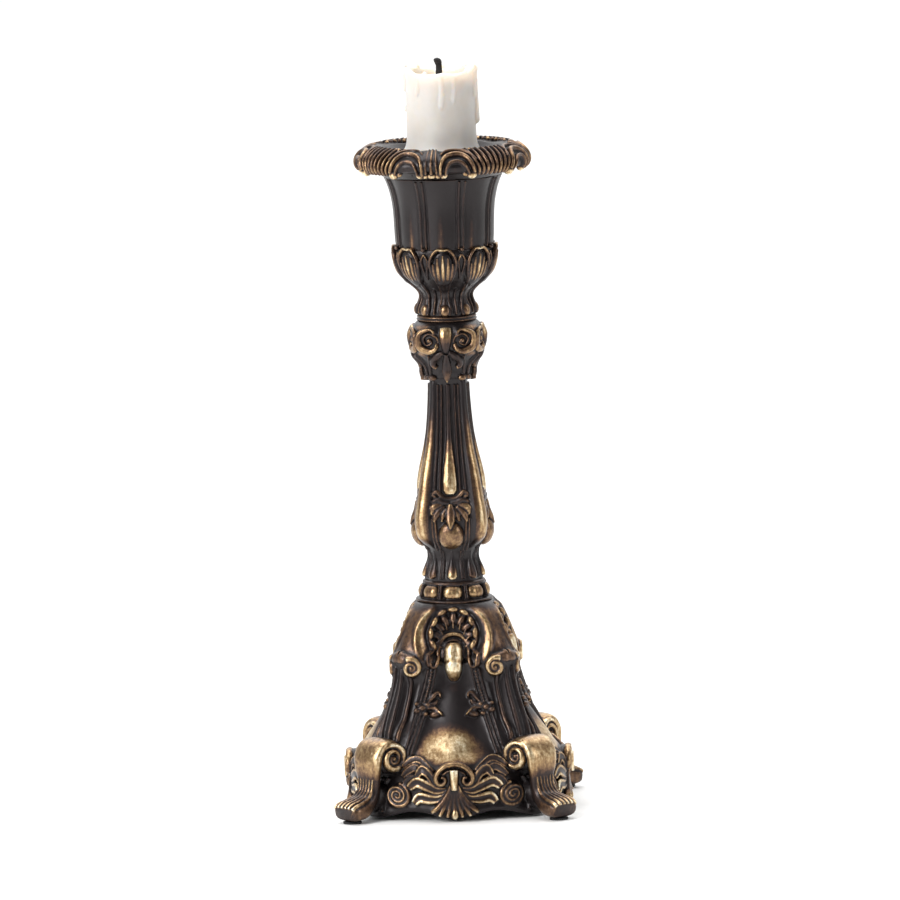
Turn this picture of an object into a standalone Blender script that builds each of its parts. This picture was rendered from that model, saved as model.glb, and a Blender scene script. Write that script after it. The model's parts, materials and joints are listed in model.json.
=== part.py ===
"""Baroque candlestick: a hollow four-footed base, a stem of stacked castings on one tie rod, a cup,
and a drip pan with a candle socket that lifts out of the cup. It holds one pillar candle.

Frame: metres, +Z up, origin on the table at the stem's axis. The four faces look along X and Y,
and the four scroll feet stand on the diagonals."""

import math

import bmesh
import bpy

MM = 0.001
GAP = 0.3 * MM  # between pieces that touch

# Driving dimensions
TOE_REACH = 92 * MM  # from the axis to the tip of each foot
RIM_RADIUS = 47.2 * MM  # the drip pan's rolled edge
CANDLE_RADIUS = 19 * MM
CANDLE_LENGTH = 78 * MM
WICK_RADIUS = 1.6 * MM
WICK_STANDING = 6 * MM  # above the candle's highest edge
ROD_RADIUS = 3 * MM  # M6
ROD_HOLE = ROD_RADIUS + 0.3 * MM
SPIGOT_RADIUS = 8 * MM
SPIGOT_LENGTH = 3 * MM
NUT_CORNER_RADIUS = 5.75 * MM
NUT_HEIGHT = 5 * MM
WASHER_HEIGHT = 1.2 * MM
PAD_RADIUS = 5 * MM
PAD_HEIGHT = 1 * MM
PAD_REACH = 79 * MM

# Heights where one casting stops and the next begins
BASE_BOTTOM = PAD_HEIGHT + GAP
BASE_TOP = 113.4 * MM
COLLAR_TOP = 124.9 * MM
BALUSTER_TOP = 235.7 * MM
KNOP_TOP = 266.4 * MM
RING_TOP = 269.6 * MM
CALYX_TOP = 306.9 * MM
CUP_TOP = 345.5 * MM
SOCKET_FLOOR = 325 * MM

BASE_SEGMENTS = 48
STEM_SEGMENTS = 32
PAN_SEGMENTS = 48

ANTIQUE_BRONZE = ("antique_bronze", (0.030, 0.024, 0.022), 0.38, 1.0)
PLAIN_STEEL = ("plain_steel", (0.42, 0.42, 0.43), 0.35, 1.0)
SPUN_BRASS = ("spun_brass", (0.20, 0.15, 0.08), 0.40, 1.0)
RUBBER = ("rubber", (0.02, 0.02, 0.02), 0.85, 0.0)
WAX = ("candle_wax", (0.80, 0.78, 0.72), 0.45, 0.0)
COTTON = ("charred_cotton", (0.02, 0.018, 0.016), 0.9, 0.0)


def clear_scene():
    for obj in list(bpy.data.objects):
        bpy.data.objects.remove(obj)


def material(finish):
    name, colour, roughness, metallic = finish
    made = bpy.data.materials.get(name) or bpy.data.materials.new(name)
    made.use_nodes = True
    shader = made.node_tree.nodes["Principled BSDF"]
    shader.inputs["Base Color"].default_value = (*colour, 1)
    shader.inputs["Roughness"].default_value = roughness
    shader.inputs["Metallic"].default_value = metallic
    return made


def smooth_outline(corners, steps):
    """Catmull-Rom points through a few corners: the soft outline of a casting."""
    padded = [corners[0], *corners, corners[-1]]
    line = []
    for before, start, end, after in zip(padded, padded[1:], padded[2:], padded[3:]):
        for step in range(steps):
            t = step / steps
            line.append(
                tuple(
                    0.5 * (2 * b + (c - a) * t + (2 * a - 5 * b + 4 * c - d) * t * t
                           + (3 * b - a - 3 * c + d) * t ** 3)
                    for a, b, c, d in zip(before, start, end, after)
                )
            )
    line.append(corners[-1])
    return line


def closed_loft(name, rings, finish):
    """One closed shell through rings of points; the last ring joins the first, as round a torus."""
    shape = bmesh.new()
    loops = [[shape.verts.new(point) for point in ring] for ring in rings]
    count = len(loops[0])
    for lower, upper in zip(loops, loops[1:] + loops[:1]):
        for i in range(count):
            j = (i + 1) % count
            shape.faces.new((lower[i], lower[j], upper[j], upper[i]))
    bmesh.ops.recalc_face_normals(shape, faces=shape.faces)
    return finish_object(name, shape, finish)


def capped_loft(name, rings, finish):
    """A solid through rings of points, closed by a flat cap at each end."""
    shape = bmesh.new()
    loops = [[shape.verts.new(point) for point in ring] for ring in rings]
    count = len(loops[0])
    for lower, upper in zip(loops, loops[1:]):
        for i in range(count):
            j = (i + 1) % count
            shape.faces.new((lower[i], lower[j], upper[j], upper[i]))
    shape.faces.new(list(reversed(loops[0])))
    shape.faces.new(loops[-1])
    bmesh.ops.recalc_face_normals(shape, faces=shape.faces)
    return finish_object(name, shape, finish)


def finish_object(name, shape, finish):
    mesh = bpy.data.meshes.new(name)
    shape.to_mesh(mesh)
    shape.free()
    mesh.shade_smooth()
    mesh.set_sharp_from_angle(angle=math.radians(35))
    mesh.materials.append(material(finish))
    obj = bpy.data.objects.new(name, mesh)
    bpy.context.scene.collection.objects.link(obj)
    return obj


def ring(radius, z, segments, lobes=0, depth=0.0, phase=0.0):
    """A circle of points, or one that swells and dips by depth in a number of lobes."""
    points = []
    for i in range(segments):
        angle = math.tau * i / segments
        r = radius + depth * math.cos(lobes * (angle - phase)) if lobes else radius
        points.append((r * math.cos(angle), r * math.sin(angle), z))
    return points


def turned_casting(name, corners, bore, lobes, segments=STEM_SEGMENTS, steps=2):
    """A stem casting: a lobed outside from (radius, height, lobe depth) corners, and a stepped bore.

    bore is a list of (radius, height) from the top of the casting down to its foot."""
    outside = [ring(r, z, segments, lobes, depth) for r, z, depth in smooth_outline(corners, steps)]
    inside = [ring(r, z, segments) for r, z in bore]
    return closed_loft(name, outside + inside, ANTIQUE_BRONZE)


def register_bore(top, bottom, hollow=None):
    """The bore of a casting that takes the spigot above it and stands on its own spigot below."""
    seat = SPIGOT_RADIUS + GAP
    bore = [(seat, top), (seat, top - SPIGOT_LENGTH - GAP), (ROD_HOLE, top - SPIGOT_LENGTH - GAP)]
    if hollow:
        hollow_radius, hollow_top, hollow_bottom = hollow
        bore += [(ROD_HOLE, hollow_top), (hollow_radius, hollow_top - 4 * MM)]
        bore += [(hollow_radius, hollow_bottom + 4 * MM), (ROD_HOLE, hollow_bottom)]
    bore += [(ROD_HOLE, bottom - SPIGOT_LENGTH), (SPIGOT_RADIUS, bottom - SPIGOT_LENGTH)]
    return bore + [(SPIGOT_RADIUS, bottom)]


# The base: face and corner distances by height, and how flat its sides are
BASE_OUTLINE = [
    # height, distance to a face, distance to a corner
    (BASE_BOTTOM, 57 * MM, 88 * MM),
    (6 * MM, 57 * MM, TOE_REACH),
    (12 * MM, 56 * MM, 87 * MM),
    (17 * MM, 57 * MM, 79 * MM),
    (25 * MM, 58 * MM, 79 * MM),
    (32 * MM, 56 * MM, 80 * MM),
    (40 * MM, 49 * MM, 77 * MM),
    (47 * MM, 43 * MM, 65 * MM),
    (56 * MM, 36.5 * MM, 56 * MM),
    (66 * MM, 32.5 * MM, 48.5 * MM),
    (75 * MM, 31 * MM, 45 * MM),
    (83 * MM, 30 * MM, 44 * MM),
    (92 * MM, 29 * MM, 38.5 * MM),
    (102 * MM, 26.5 * MM, 34.5 * MM),
    (109 * MM, 23.5 * MM, 29 * MM),
    (BASE_TOP, 20 * MM, 21 * MM),
]
APRON_RISE = 4 * MM  # the skirt arches up between the feet and the middle of each side
BASE_WALL = 4.5 * MM
BASE_CEILING = 106 * MM
CEILING_RADIUS = 12 * MM  # the flat face that the lower washer bears on


def foot_share(angle, height):
    """0 at the middle of a face and 1 on a foot.

    Low down the feet are narrow, and high up the plan is a soft square."""
    power = 7 if height < 36 * MM else 4.5 if height < 60 * MM else 3
    return abs(math.sin(2 * angle)) ** power


def base_ring(height, face, corner):
    points = []
    for i in range(BASE_SEGMENTS):
        angle = math.tau * i / BASE_SEGMENTS
        share = foot_share(angle, height)
        recess = 5 * MM * math.sin(4 * angle) ** 2 if height < 20 * MM else 0
        r = face + (corner - face) * share - recess
        z = height
        if height <= BASE_BOTTOM:
            z += APRON_RISE * math.sin(4 * angle) ** 2
        points.append((r * math.cos(angle), r * math.sin(angle), z))
    return points


def make_base():
    outside = [base_ring(*level) for level in BASE_OUTLINE]
    seat = SPIGOT_RADIUS + GAP
    ledge = BASE_TOP - SPIGOT_LENGTH - GAP
    inside = [ring(seat, BASE_TOP, BASE_SEGMENTS), ring(seat, ledge, BASE_SEGMENTS)]
    inside += [ring(ROD_HOLE, ledge, BASE_SEGMENTS), ring(ROD_HOLE, BASE_CEILING, BASE_SEGMENTS)]
    inside.append(ring(CEILING_RADIUS, BASE_CEILING, BASE_SEGMENTS))
    for height, face, corner in reversed([level for level in BASE_OUTLINE if level[0] < BASE_CEILING]):
        reach = (min(corner, 76 * MM) if height < 20 * MM else corner) - BASE_WALL * 1.5
        inside.append(base_ring(height, face - BASE_WALL, reach))
    return closed_loft("base_casting", outside + inside, ANTIQUE_BRONZE)


def make_stem():
    turned_casting(
        "bead_collar",
        [(20 * MM, BASE_TOP + GAP, 0), (20.5 * MM, 115.6 * MM, 0), (17.5 * MM, 116.6 * MM, 0.5 * MM),
         (18.6 * MM, 120 * MM, 0.9 * MM), (16.3 * MM, 122.9 * MM, 0.3 * MM), (16.2 * MM, COLLAR_TOP, 0)],
        register_bore(COLLAR_TOP, BASE_TOP + GAP), lobes=8)
    turned_casting(
        "baluster",
        [(15.4 * MM, COLLAR_TOP + GAP, 0.2 * MM), (15.2 * MM, 129 * MM, 0.7 * MM),
         (12.4 * MM, 137 * MM, 0.6 * MM), (15.5 * MM, 143.5 * MM, 0.8 * MM), (20.6 * MM, 152 * MM, 1 * MM),
         (21 * MM, 160 * MM, 1 * MM), (18.8 * MM, 176 * MM, 0.9 * MM), (14.8 * MM, 196 * MM, 0.8 * MM),
         (12.3 * MM, 215 * MM, 0.6 * MM), (11.6 * MM, BALUSTER_TOP, 0.4 * MM)],
        register_bore(BALUSTER_TOP, COLLAR_TOP + GAP, hollow=(11 * MM, 190 * MM, 146 * MM)), lobes=8)
    turned_casting(
        "scroll_knop",
        [(12.2 * MM, BALUSTER_TOP + GAP, 0.3 * MM), (14 * MM, 240.5 * MM, 0.5 * MM),
         (18.8 * MM, 249 * MM, 0.9 * MM), (20 * MM, 257 * MM, 1 * MM), (18.6 * MM, 263 * MM, 0.7 * MM),
         (16 * MM, KNOP_TOP, 0.2 * MM)],
        register_bore(KNOP_TOP, BALUSTER_TOP + GAP), lobes=4)
    turned_casting(
        "knop_ring",
        [(15 * MM, KNOP_TOP + GAP, 0), (16.6 * MM, 268 * MM, 0), (15 * MM, RING_TOP, 0)],
        [(SPIGOT_RADIUS + 5 * MM, RING_TOP), (SPIGOT_RADIUS + 5 * MM, KNOP_TOP + GAP)], lobes=0, steps=3)


def make_cup():
    turned_casting(
        "petal_calyx",
        [(14.5 * MM, RING_TOP + GAP, 0.3 * MM), (16 * MM, 273 * MM, 0.7 * MM), (13.4 * MM, 279 * MM, 0.5 * MM),
         (16 * MM, 284.5 * MM, 0.3 * MM), (22.6 * MM, 291.5 * MM, 0.5 * MM), (26.4 * MM, 298.5 * MM, 0.7 * MM),
         (27.6 * MM, 304 * MM, 0.6 * MM), (27.2 * MM, CALYX_TOP, 0.3 * MM)],
        [(23 * MM, CALYX_TOP), (21 * MM, 297 * MM), (SPIGOT_RADIUS + GAP, 289 * MM),
         (ROD_HOLE, 286 * MM), (ROD_HOLE, KNOP_TOP - SPIGOT_LENGTH), (SPIGOT_RADIUS, KNOP_TOP - SPIGOT_LENGTH),
         (SPIGOT_RADIUS, RING_TOP + GAP)], lobes=8)
    floor = CALYX_TOP + GAP
    turned_casting(
        "cup_shell",
        [(21 * MM, 301 * MM, 0), (21 * MM, floor, 0), (26.6 * MM, floor, 0), (26.7 * MM, 314 * MM, -0.5 * MM),
         (26.9 * MM, 326 * MM, -0.6 * MM), (28.6 * MM, 337 * MM, -0.6 * MM), (31.8 * MM, CUP_TOP, 0)],
        [(27.6 * MM, CUP_TOP), (25 * MM, 337 * MM), (23.6 * MM, 326 * MM), (23.4 * MM, floor + 3 * MM),
         (ROD_HOLE, floor + 3 * MM), (ROD_HOLE, floor - 0.2 * MM), (12 * MM, floor - 0.2 * MM),
         (15 * MM, 301 * MM)],
        lobes=8, steps=1)


def scalloped(radius, z):
    """The drip pan's edge stands out a little more over the four faces."""
    return ring(radius, z, PAN_SEGMENTS, lobes=8, depth=0.9 * MM)


def make_drip_pan():
    """The everted rim, the dish and the candle socket under it, which drop into the cup."""
    socket_inside = CANDLE_RADIUS + 0.5 * MM
    socket_outside = socket_inside + 1.2 * MM
    lip = CUP_TOP + GAP
    rolled_edge = smooth_outline(
        [(33 * MM, lip), (40 * MM, 349 * MM), (43.5 * MM, 346.8 * MM), (46.3 * MM, 349.5 * MM),
         (RIM_RADIUS - 0.9 * MM, 354 * MM), (41 * MM, 360 * MM), (35 * MM, 362 * MM)], 1)
    dish = smooth_outline(
        [(35 * MM, 362 * MM), (30 * MM, 359.5 * MM), (25 * MM, 354 * MM), (socket_outside + GAP, 352 * MM)], 1)
    edge = [scalloped(r, z) if r > 38 * MM else ring(r, z, PAN_SEGMENTS) for r, z in rolled_edge]
    bowl = [ring(r, z, PAN_SEGMENTS) for r, z in dish[1:]]
    under = [ring(r, z, PAN_SEGMENTS) for r, z in
             [(socket_outside + GAP, 345 * MM), (25.4 * MM, 342.5 * MM), (26.2 * MM, CUP_TOP - 1.5 * MM),
              (26.4 * MM, lip)]]
    closed_loft("drip_pan", edge + bowl + under, ANTIQUE_BRONZE)
    wall_top = 352 * MM
    closed_loft(
        "candle_socket",
        [ring(r, z, STEM_SEGMENTS) for r, z in
         [(socket_outside, SOCKET_FLOOR - 2 * MM), (socket_outside, wall_top), (socket_inside, wall_top),
          (socket_inside, SOCKET_FLOOR - GAP), (2 * MM, SOCKET_FLOOR - GAP), (2 * MM, SOCKET_FLOOR - 2 * MM)]],
        SPUN_BRASS)


def make_candle():
    top = SOCKET_FLOOR + CANDLE_LENGTH
    closed_loft(
        "candle",
        [ring(r, z, STEM_SEGMENTS) for r, z in
         [(CANDLE_RADIUS - 0.5 * MM, SOCKET_FLOOR), (CANDLE_RADIUS, SOCKET_FLOOR + 0.6 * MM),
          (CANDLE_RADIUS, top - 6 * MM), (CANDLE_RADIUS + 0.6 * MM, top - 1.5 * MM),
          (CANDLE_RADIUS - 0.8 * MM, top),
          (CANDLE_RADIUS - 2.4 * MM, top - 1.5 * MM), (CANDLE_RADIUS - 6 * MM, top - 5 * MM),
          (WICK_RADIUS + GAP, top - 6 * MM), (WICK_RADIUS + GAP, SOCKET_FLOOR)]],
        WAX)
    wick_rings = [ring(WICK_RADIUS, z, 12) for z in (SOCKET_FLOOR, top - 1 * MM)]
    wick_rings.append(ring(WICK_RADIUS - 0.2 * MM, top + WICK_STANDING, 12))
    capped_loft("wick", wick_rings, COTTON)


def make_washer(name, bottom):
    top = bottom + WASHER_HEIGHT
    rings = [ring(8 * MM, bottom, 24), ring(8 * MM, top, 24), ring(ROD_HOLE, top, 24), ring(ROD_HOLE, bottom, 24)]
    closed_loft(name, rings, PLAIN_STEEL)


def make_nut(name, bottom):
    """A hexagon nut, bored with six sides so that each wall is one face."""
    top = bottom + NUT_HEIGHT
    bore = ROD_HOLE / math.cos(math.pi / 6)
    corners = [(NUT_CORNER_RADIUS, bottom), (NUT_CORNER_RADIUS, top), (bore, top), (bore, bottom)]
    closed_loft(name, [ring(r, z, 6) for r, z in corners], PLAIN_STEEL)


def make_fasteners():
    """The tie rod and the nut and washer at each end of it, which clamp the stack."""
    lower_washer = BASE_CEILING - GAP - WASHER_HEIGHT
    lower_nut = lower_washer - GAP - NUT_HEIGHT
    upper_washer = CALYX_TOP + 3.6 * MM
    upper_nut = upper_washer + WASHER_HEIGHT + GAP
    make_washer("base_washer", lower_washer)
    make_nut("base_nut", lower_nut)
    make_washer("cup_washer", upper_washer)
    make_nut("cup_nut", upper_nut)
    capped_loft(
        "tie_rod",
        [ring(ROD_RADIUS, lower_nut - 3 * MM, 16), ring(ROD_RADIUS, upper_nut + NUT_HEIGHT + 1.5 * MM, 16)],
        PLAIN_STEEL)


def make_pads():
    """A rubber pad under each toe."""
    for number in range(4):
        angle = math.pi / 4 + math.pi / 2 * number
        x, y = PAD_REACH * math.cos(angle), PAD_REACH * math.sin(angle)
        rings = [[(x + px, y + py, pz) for px, py, pz in ring(PAD_RADIUS, z, 24)] for z in (0, PAD_HEIGHT)]
        capped_loft(f"foot_pad_{number + 1}", rings, RUBBER)


def main():
    clear_scene()
    make_base()
    make_stem()
    make_cup()
    make_drip_pan()
    make_candle()
    make_fasteners()
    make_pads()


main()
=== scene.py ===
"""Looks of a tall baroque candlestick in antique bronze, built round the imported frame.

Each casting is carved as a soft body with mouldings, beads, scrolls and leaves laid on it, and the heap
is then fused into one skin, as the real pattern was before it was cast. The gold shows where hands and
polishing cloths have rubbed the dark patina away.

Directions: a face looks along -Y, +X is to its right and +Z is up. The other three faces are copies,
turned about the stem.
"""

import json
import logging
import math
from collections.abc import Callable, Sequence
from dataclasses import dataclass, field
from enum import Enum
from typing import Protocol

import bpy
import numpy as np
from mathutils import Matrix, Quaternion, Vector
from mathutils.bvhtree import BVHTree

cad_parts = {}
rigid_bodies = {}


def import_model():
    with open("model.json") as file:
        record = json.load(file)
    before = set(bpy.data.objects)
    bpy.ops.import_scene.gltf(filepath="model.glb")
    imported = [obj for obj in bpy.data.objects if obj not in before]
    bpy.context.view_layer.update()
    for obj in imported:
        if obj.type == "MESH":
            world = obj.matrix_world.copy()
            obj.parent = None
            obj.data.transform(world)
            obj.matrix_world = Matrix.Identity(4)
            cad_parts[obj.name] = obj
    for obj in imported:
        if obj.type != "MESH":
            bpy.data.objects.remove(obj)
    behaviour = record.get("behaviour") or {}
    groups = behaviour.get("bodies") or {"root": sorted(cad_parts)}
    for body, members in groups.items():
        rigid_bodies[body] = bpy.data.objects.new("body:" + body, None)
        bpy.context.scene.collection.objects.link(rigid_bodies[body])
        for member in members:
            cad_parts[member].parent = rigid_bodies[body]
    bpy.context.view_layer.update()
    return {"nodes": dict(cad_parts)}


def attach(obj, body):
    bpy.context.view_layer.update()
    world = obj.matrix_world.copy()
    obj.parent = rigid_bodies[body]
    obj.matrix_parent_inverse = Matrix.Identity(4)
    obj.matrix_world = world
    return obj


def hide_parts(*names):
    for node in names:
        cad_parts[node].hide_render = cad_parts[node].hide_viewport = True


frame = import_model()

LOG = logging.getLogger("candlestick")
MM = 0.001
FACES = 4
PETALS = 8
DIAGONAL = math.pi / 4
UP = np.array([0.0, 0.0, 1.0])
Amount = float | Sequence[float] | np.ndarray  # one value, or a few spread evenly along a line


class Body(Enum):
    """The rigid bodies that the pieces ride on."""

    HOLDER = "holder"
    NOZZLE = "nozzle"
    CANDLE = "candle"


class Slot(Enum):
    """The record's material slots that modelled pieces take."""

    BRONZE = "antique_bronze"
    WAX = "candle_wax"
    COTTON = "charred_cotton"


# ---- Colours and materials ----


def linear(hex_colour: str) -> tuple[float, float, float, float]:
    """Turns an sRGB hex colour into the linear one that shaders take.

    Args:
        hex_colour: six hex digits, such as "b08d57".

    Returns:
        Red, green, blue and alpha.
    """
    channels = [int(hex_colour[i:i + 2], 16) / 255 for i in (0, 2, 4)]
    red, green, blue = (c / 12.92 if c <= 0.04045 else ((c + 0.055) / 1.055) ** 2.4 for c in channels)
    return red, green, blue, 1.0


def add_node(tree: bpy.types.NodeTree, kind: str, links: dict | None = None, stops: Sequence[tuple] = (),
             **settings: object) -> bpy.types.Node:
    """Adds a node with its settings and links.

    Args:
        tree: the material's node tree.
        kind: the node's Blender type.
        links: input name or number to an output socket, or to a plain value for that input.
        stops: a colour ramp's positions, each with a linear colour or a grey value, from low to high.
        settings: attributes of the node itself.

    Returns:
        The new node.
    """
    node = tree.nodes.new(kind)
    for name, value in settings.items():
        setattr(node, name, value)
    for name, source in (links or {}).items():
        if isinstance(source, bpy.types.NodeSocket):
            tree.links.new(source, node.inputs[name])
        else:
            node.inputs[name].default_value = source
    for i, (position, value) in enumerate(stops):
        elements = node.color_ramp.elements
        element = elements[i] if i < len(elements) else elements.new(1.0)
        element.position = position
        element.color = value if isinstance(value, tuple) else (value, value, value, 1.0)
    return node


def new_material(name: str) -> tuple[bpy.types.Material, bpy.types.NodeTree, bpy.types.Node]:
    """Starts a material and finds its main shader.

    Args:
        name: the material's name.

    Returns:
        The material, its node tree and its Principled BSDF.
    """
    made = bpy.data.materials.new(name)
    made.use_nodes = True
    tree = made.node_tree
    return made, tree, tree.nodes["Principled BSDF"]


@dataclass(frozen=True)
class AntiqueBronze:
    """Cast bronze, blackened with a sulphur patina and rubbed back to the metal on everything proud.

    The hollows stay near black with a soft sheen. The high parts go through brown to a pale, dry gold.
    """

    patina: str = "1e1819"
    patina_warm: str = "382b27"
    brown: str = "6c5340"
    gold: str = "a28560"
    pale: str = "d4be98"
    worn: str = "f0e6cc"
    cloud: float = 14 * MM  # size of the uneven patches of patina
    scuff: float = 1.6 * MM  # length of the marks left by rubbing
    grain: float = 0.35 * MM  # the casting's fine skin
    drawn: tuple = (1.0, 1.0, 0.22)  # strokes of the cloth run up and down
    coat: float = 0.12  # the wax that the patina is sealed with
    coat_roughness: float = 0.16

    def make(self) -> bpy.types.Material:
        """Builds the material.

        Returns:
            The material.
        """
        made, tree, shader = new_material("antique_bronze_rubbed")
        place = add_node(tree, "ShaderNodeTexCoord").outputs["Object"]
        rub = add_node(tree, "ShaderNodeAttribute", attribute_name="rub").outputs["Fac"]
        stroke = add_node(tree, "ShaderNodeMapping", {"Vector": place, "Scale": self.drawn}).outputs["Vector"]
        cloud, scuff, streak, grain = (
            add_node(tree, "ShaderNodeTexNoise", {
                "Vector": where, "Scale": 1 / size, "Detail": detail, "Roughness": share}).outputs["Fac"]
            for where, size, detail, share in (
                (place, self.cloud, 4.0, 0.6), (place, self.scuff, 3.0, 0.65),
                (stroke, self.scuff, 3.0, 0.6), (place, self.grain, 2.0, 0.5)))
        # the uneven rubbing is nought on average, and strongest where most metal shows
        sums = {
            "mottle": (cloud, 0.60, -0.30), "scratch": (scuff, 0.56, -0.28), "brushed": (streak, 0.56, -0.28),
            "both": ("mottle", 1.0, "scratch"), "uneven": ("both", 1.0, "brushed"), "depth": (rub, 1.3, 0.12),
            "shown": ("uneven", "depth", rub), "dulled": (scuff, 0.35, "shown"),
            "height": (scuff, 0.5, grain)}
        done = {}
        for name, terms in sums.items():
            known = {i: done[term] if isinstance(term, str) else term for i, term in enumerate(terms)}
            done[name] = add_node(tree, "ShaderNodeMath", known, operation="MULTIPLY_ADD").outputs["Value"]
        tones = zip((0.12, 0.28, 0.46, 0.66, 0.86, 1.0), map(linear, (
            self.patina, self.patina_warm, self.brown, self.gold, self.pale, self.worn)))
        for name, factor, stops in (
                ("Base Color", "shown", tuple(tones)),
                ("Metallic", "shown", ((0.05, 0.55), (0.45, 0.92), (1.0, 1.0))),
                ("Roughness", "dulled", ((0.10, 0.40), (0.45, 0.38), (0.80, 0.30), (1.10, 0.42)))):
            ramp = add_node(tree, "ShaderNodeValToRGB", {"Fac": done[factor]}, stops)
            tree.links.new(ramp.outputs["Color"], shader.inputs[name])
        shader.inputs["Coat Weight"].default_value = self.coat
        shader.inputs["Coat Roughness"].default_value = self.coat_roughness
        bump = add_node(tree, "ShaderNodeBump",
                        {"Height": done["height"], "Strength": 0.35, "Distance": 0.10 * MM})
        tree.links.new(bump.outputs["Normal"], shader.inputs["Normal"])
        return made


# ---- Lines and grounds: where ornament is laid ----


def smooth_line(corners: Sequence[Sequence[float]], steps: int = 6) -> np.ndarray:
    """Runs a smooth line through a few corners.

    Args:
        corners: points of any number of values each.
        steps: how many pieces each stretch is cut into.

    Returns:
        The line's points.
    """
    points = np.asarray(corners, float)
    padded = np.vstack([points[:1], points, points[-1:]])
    t = (np.arange(steps) / steps)[:, None]
    stretches = [
        0.5 * (2 * b + (c - a) * t + (2 * a - 5 * b + 4 * c - d) * t ** 2 + (3 * b - a - 3 * c + d) * t ** 3)
        for a, b, c, d in zip(padded, padded[1:], padded[2:], padded[3:])]
    return np.vstack([*stretches, points[-1:]])


def curve(corners: Sequence[Sequence[float]], steps: int = 6) -> np.ndarray:
    """A smooth line through corners given in millimetres."""
    return smooth_line(np.asarray(corners, float) * MM, steps)


def spiral(centre: Sequence[float], outer: float, inner: float, turns: float, start: float,
           steps_a_turn: int = 22) -> np.ndarray:
    """A flat spiral from its outer end to its eye.

    Args:
        centre: the eye, across and up.
        outer: radius at the outer end.
        inner: radius at the eye.
        turns: how many turns it makes; a negative number turns it clockwise.
        start: angle of the outer end in radians.
        steps_a_turn: points to a turn.

    Returns:
        The spiral's points, across and up.
    """
    t = np.linspace(0, 1, max(4, int(abs(turns) * steps_a_turn)) + 1)
    angle = start + turns * math.tau * t
    radius = outer + (inner - outer) * t ** 0.85
    return np.stack([centre[0] + radius * np.cos(angle), centre[1] + radius * np.sin(angle)], axis=1)


def along(values: Amount, count: int) -> np.ndarray:
    """Spreads one value, or a few, evenly along a line of count points."""
    given = np.atleast_1d(np.asarray(values, float))
    return np.interp(np.linspace(0, 1, count), np.linspace(0, 1, len(given)), given)


def unit(vectors: np.ndarray) -> np.ndarray:
    """Each vector at length one."""
    return vectors / np.maximum(np.linalg.norm(vectors, axis=-1, keepdims=True), 1e-12)


def soft_step(value: np.ndarray, low: float, high: float) -> np.ndarray:
    """0 below low, 1 above high, and a soft curve between."""
    t = np.clip((value - low) / (high - low), 0, 1)
    return t * t * (3 - 2 * t)


def from_face(angle: np.ndarray) -> np.ndarray:
    """How far an angle is from the middle of the nearest of the four faces."""
    return np.abs((angle + DIAGONAL) % (2 * DIAGONAL) - DIAGONAL)


class Ground(Protocol):
    """A surface that ornament is laid on."""

    def lay(self, path: np.ndarray) -> tuple[np.ndarray, np.ndarray]:
        """Takes points across and up, and gives their places and the way outwards there."""


@dataclass(frozen=True)
class RoundGround:
    """The skin of a casting about the stem, given by its radius at an angle and a height."""

    radius: Callable[[np.ndarray, np.ndarray], np.ndarray]
    polar: bool = False  # whether across is an angle

    def at(self, angle: np.ndarray, height: np.ndarray) -> np.ndarray:
        """The skin's points at these angles from the front face."""
        r = self.radius(angle, height)
        return np.stack([r * np.sin(angle), -r * np.cos(angle), height], axis=-1)

    def lay(self, path: np.ndarray) -> tuple[np.ndarray, np.ndarray]:
        """Lays a path of points across and up on the skin.

        Args:
            path: points across and up.

        Returns:
            The points' places and the way outwards at each.
        """
        across, height = path[:, 0], path[:, 1]
        angle = across.copy()
        if not self.polar:
            angle = np.zeros_like(across)
            for _ in range(12):
                angle = np.arcsin(np.clip(across / self.radius(angle, height), -1, 1))
        turn, rise = 0.004, 0.2 * MM
        round_about = self.at(angle + turn, height) - self.at(angle - turn, height)
        upwards = self.at(angle, height + rise) - self.at(angle, height - rise)
        return self.at(angle, height), unit(np.cross(round_about, upwards))


@dataclass(frozen=True)
class FlatGround:
    """A flat board that ornament is laid on."""

    origin: np.ndarray
    right: np.ndarray
    outwards: np.ndarray
    upwards: np.ndarray = field(default_factory=lambda: UP)

    def lay(self, path: np.ndarray) -> tuple[np.ndarray, np.ndarray]:
        """Lays a path of points across and up on the board."""
        points = self.origin + np.outer(path[:, 0], self.right) + np.outer(path[:, 1], self.upwards)
        return points, np.tile(self.outwards, (len(path), 1))


# ---- Relief: the shapes that are cast together ----


def only(obj: bpy.types.Object) -> bpy.types.Object:
    """Selects one object alone and makes it active.

    Args:
        obj: the object.

    Returns:
        The same object.
    """
    for other in bpy.context.selected_objects:
        other.select_set(False)
    obj.select_set(True)
    bpy.context.view_layer.objects.active = obj
    return obj


def mesh_object(name: str, points: np.ndarray, faces: list) -> bpy.types.Object:
    """Makes an object from points and faces.

    Args:
        name: the object's name.
        points: its points.
        faces: its faces, as numbers of points.

    Returns:
        The new object.
    """
    mesh = bpy.data.meshes.new(name)
    mesh.from_pydata(points.tolist(), [], faces)
    obj = bpy.data.objects.new(name, mesh)
    bpy.context.scene.collection.objects.link(obj)
    return obj


def vertex_places(mesh: bpy.types.Mesh) -> np.ndarray:
    """A mesh's vertices as an array.

    Args:
        mesh: the mesh.

    Returns:
        Points by three coordinates, in metres.
    """
    places = np.empty(len(mesh.vertices) * 3, np.float32)
    mesh.vertices.foreach_get("co", places)
    return places.reshape(-1, 3).astype(float)


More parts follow.
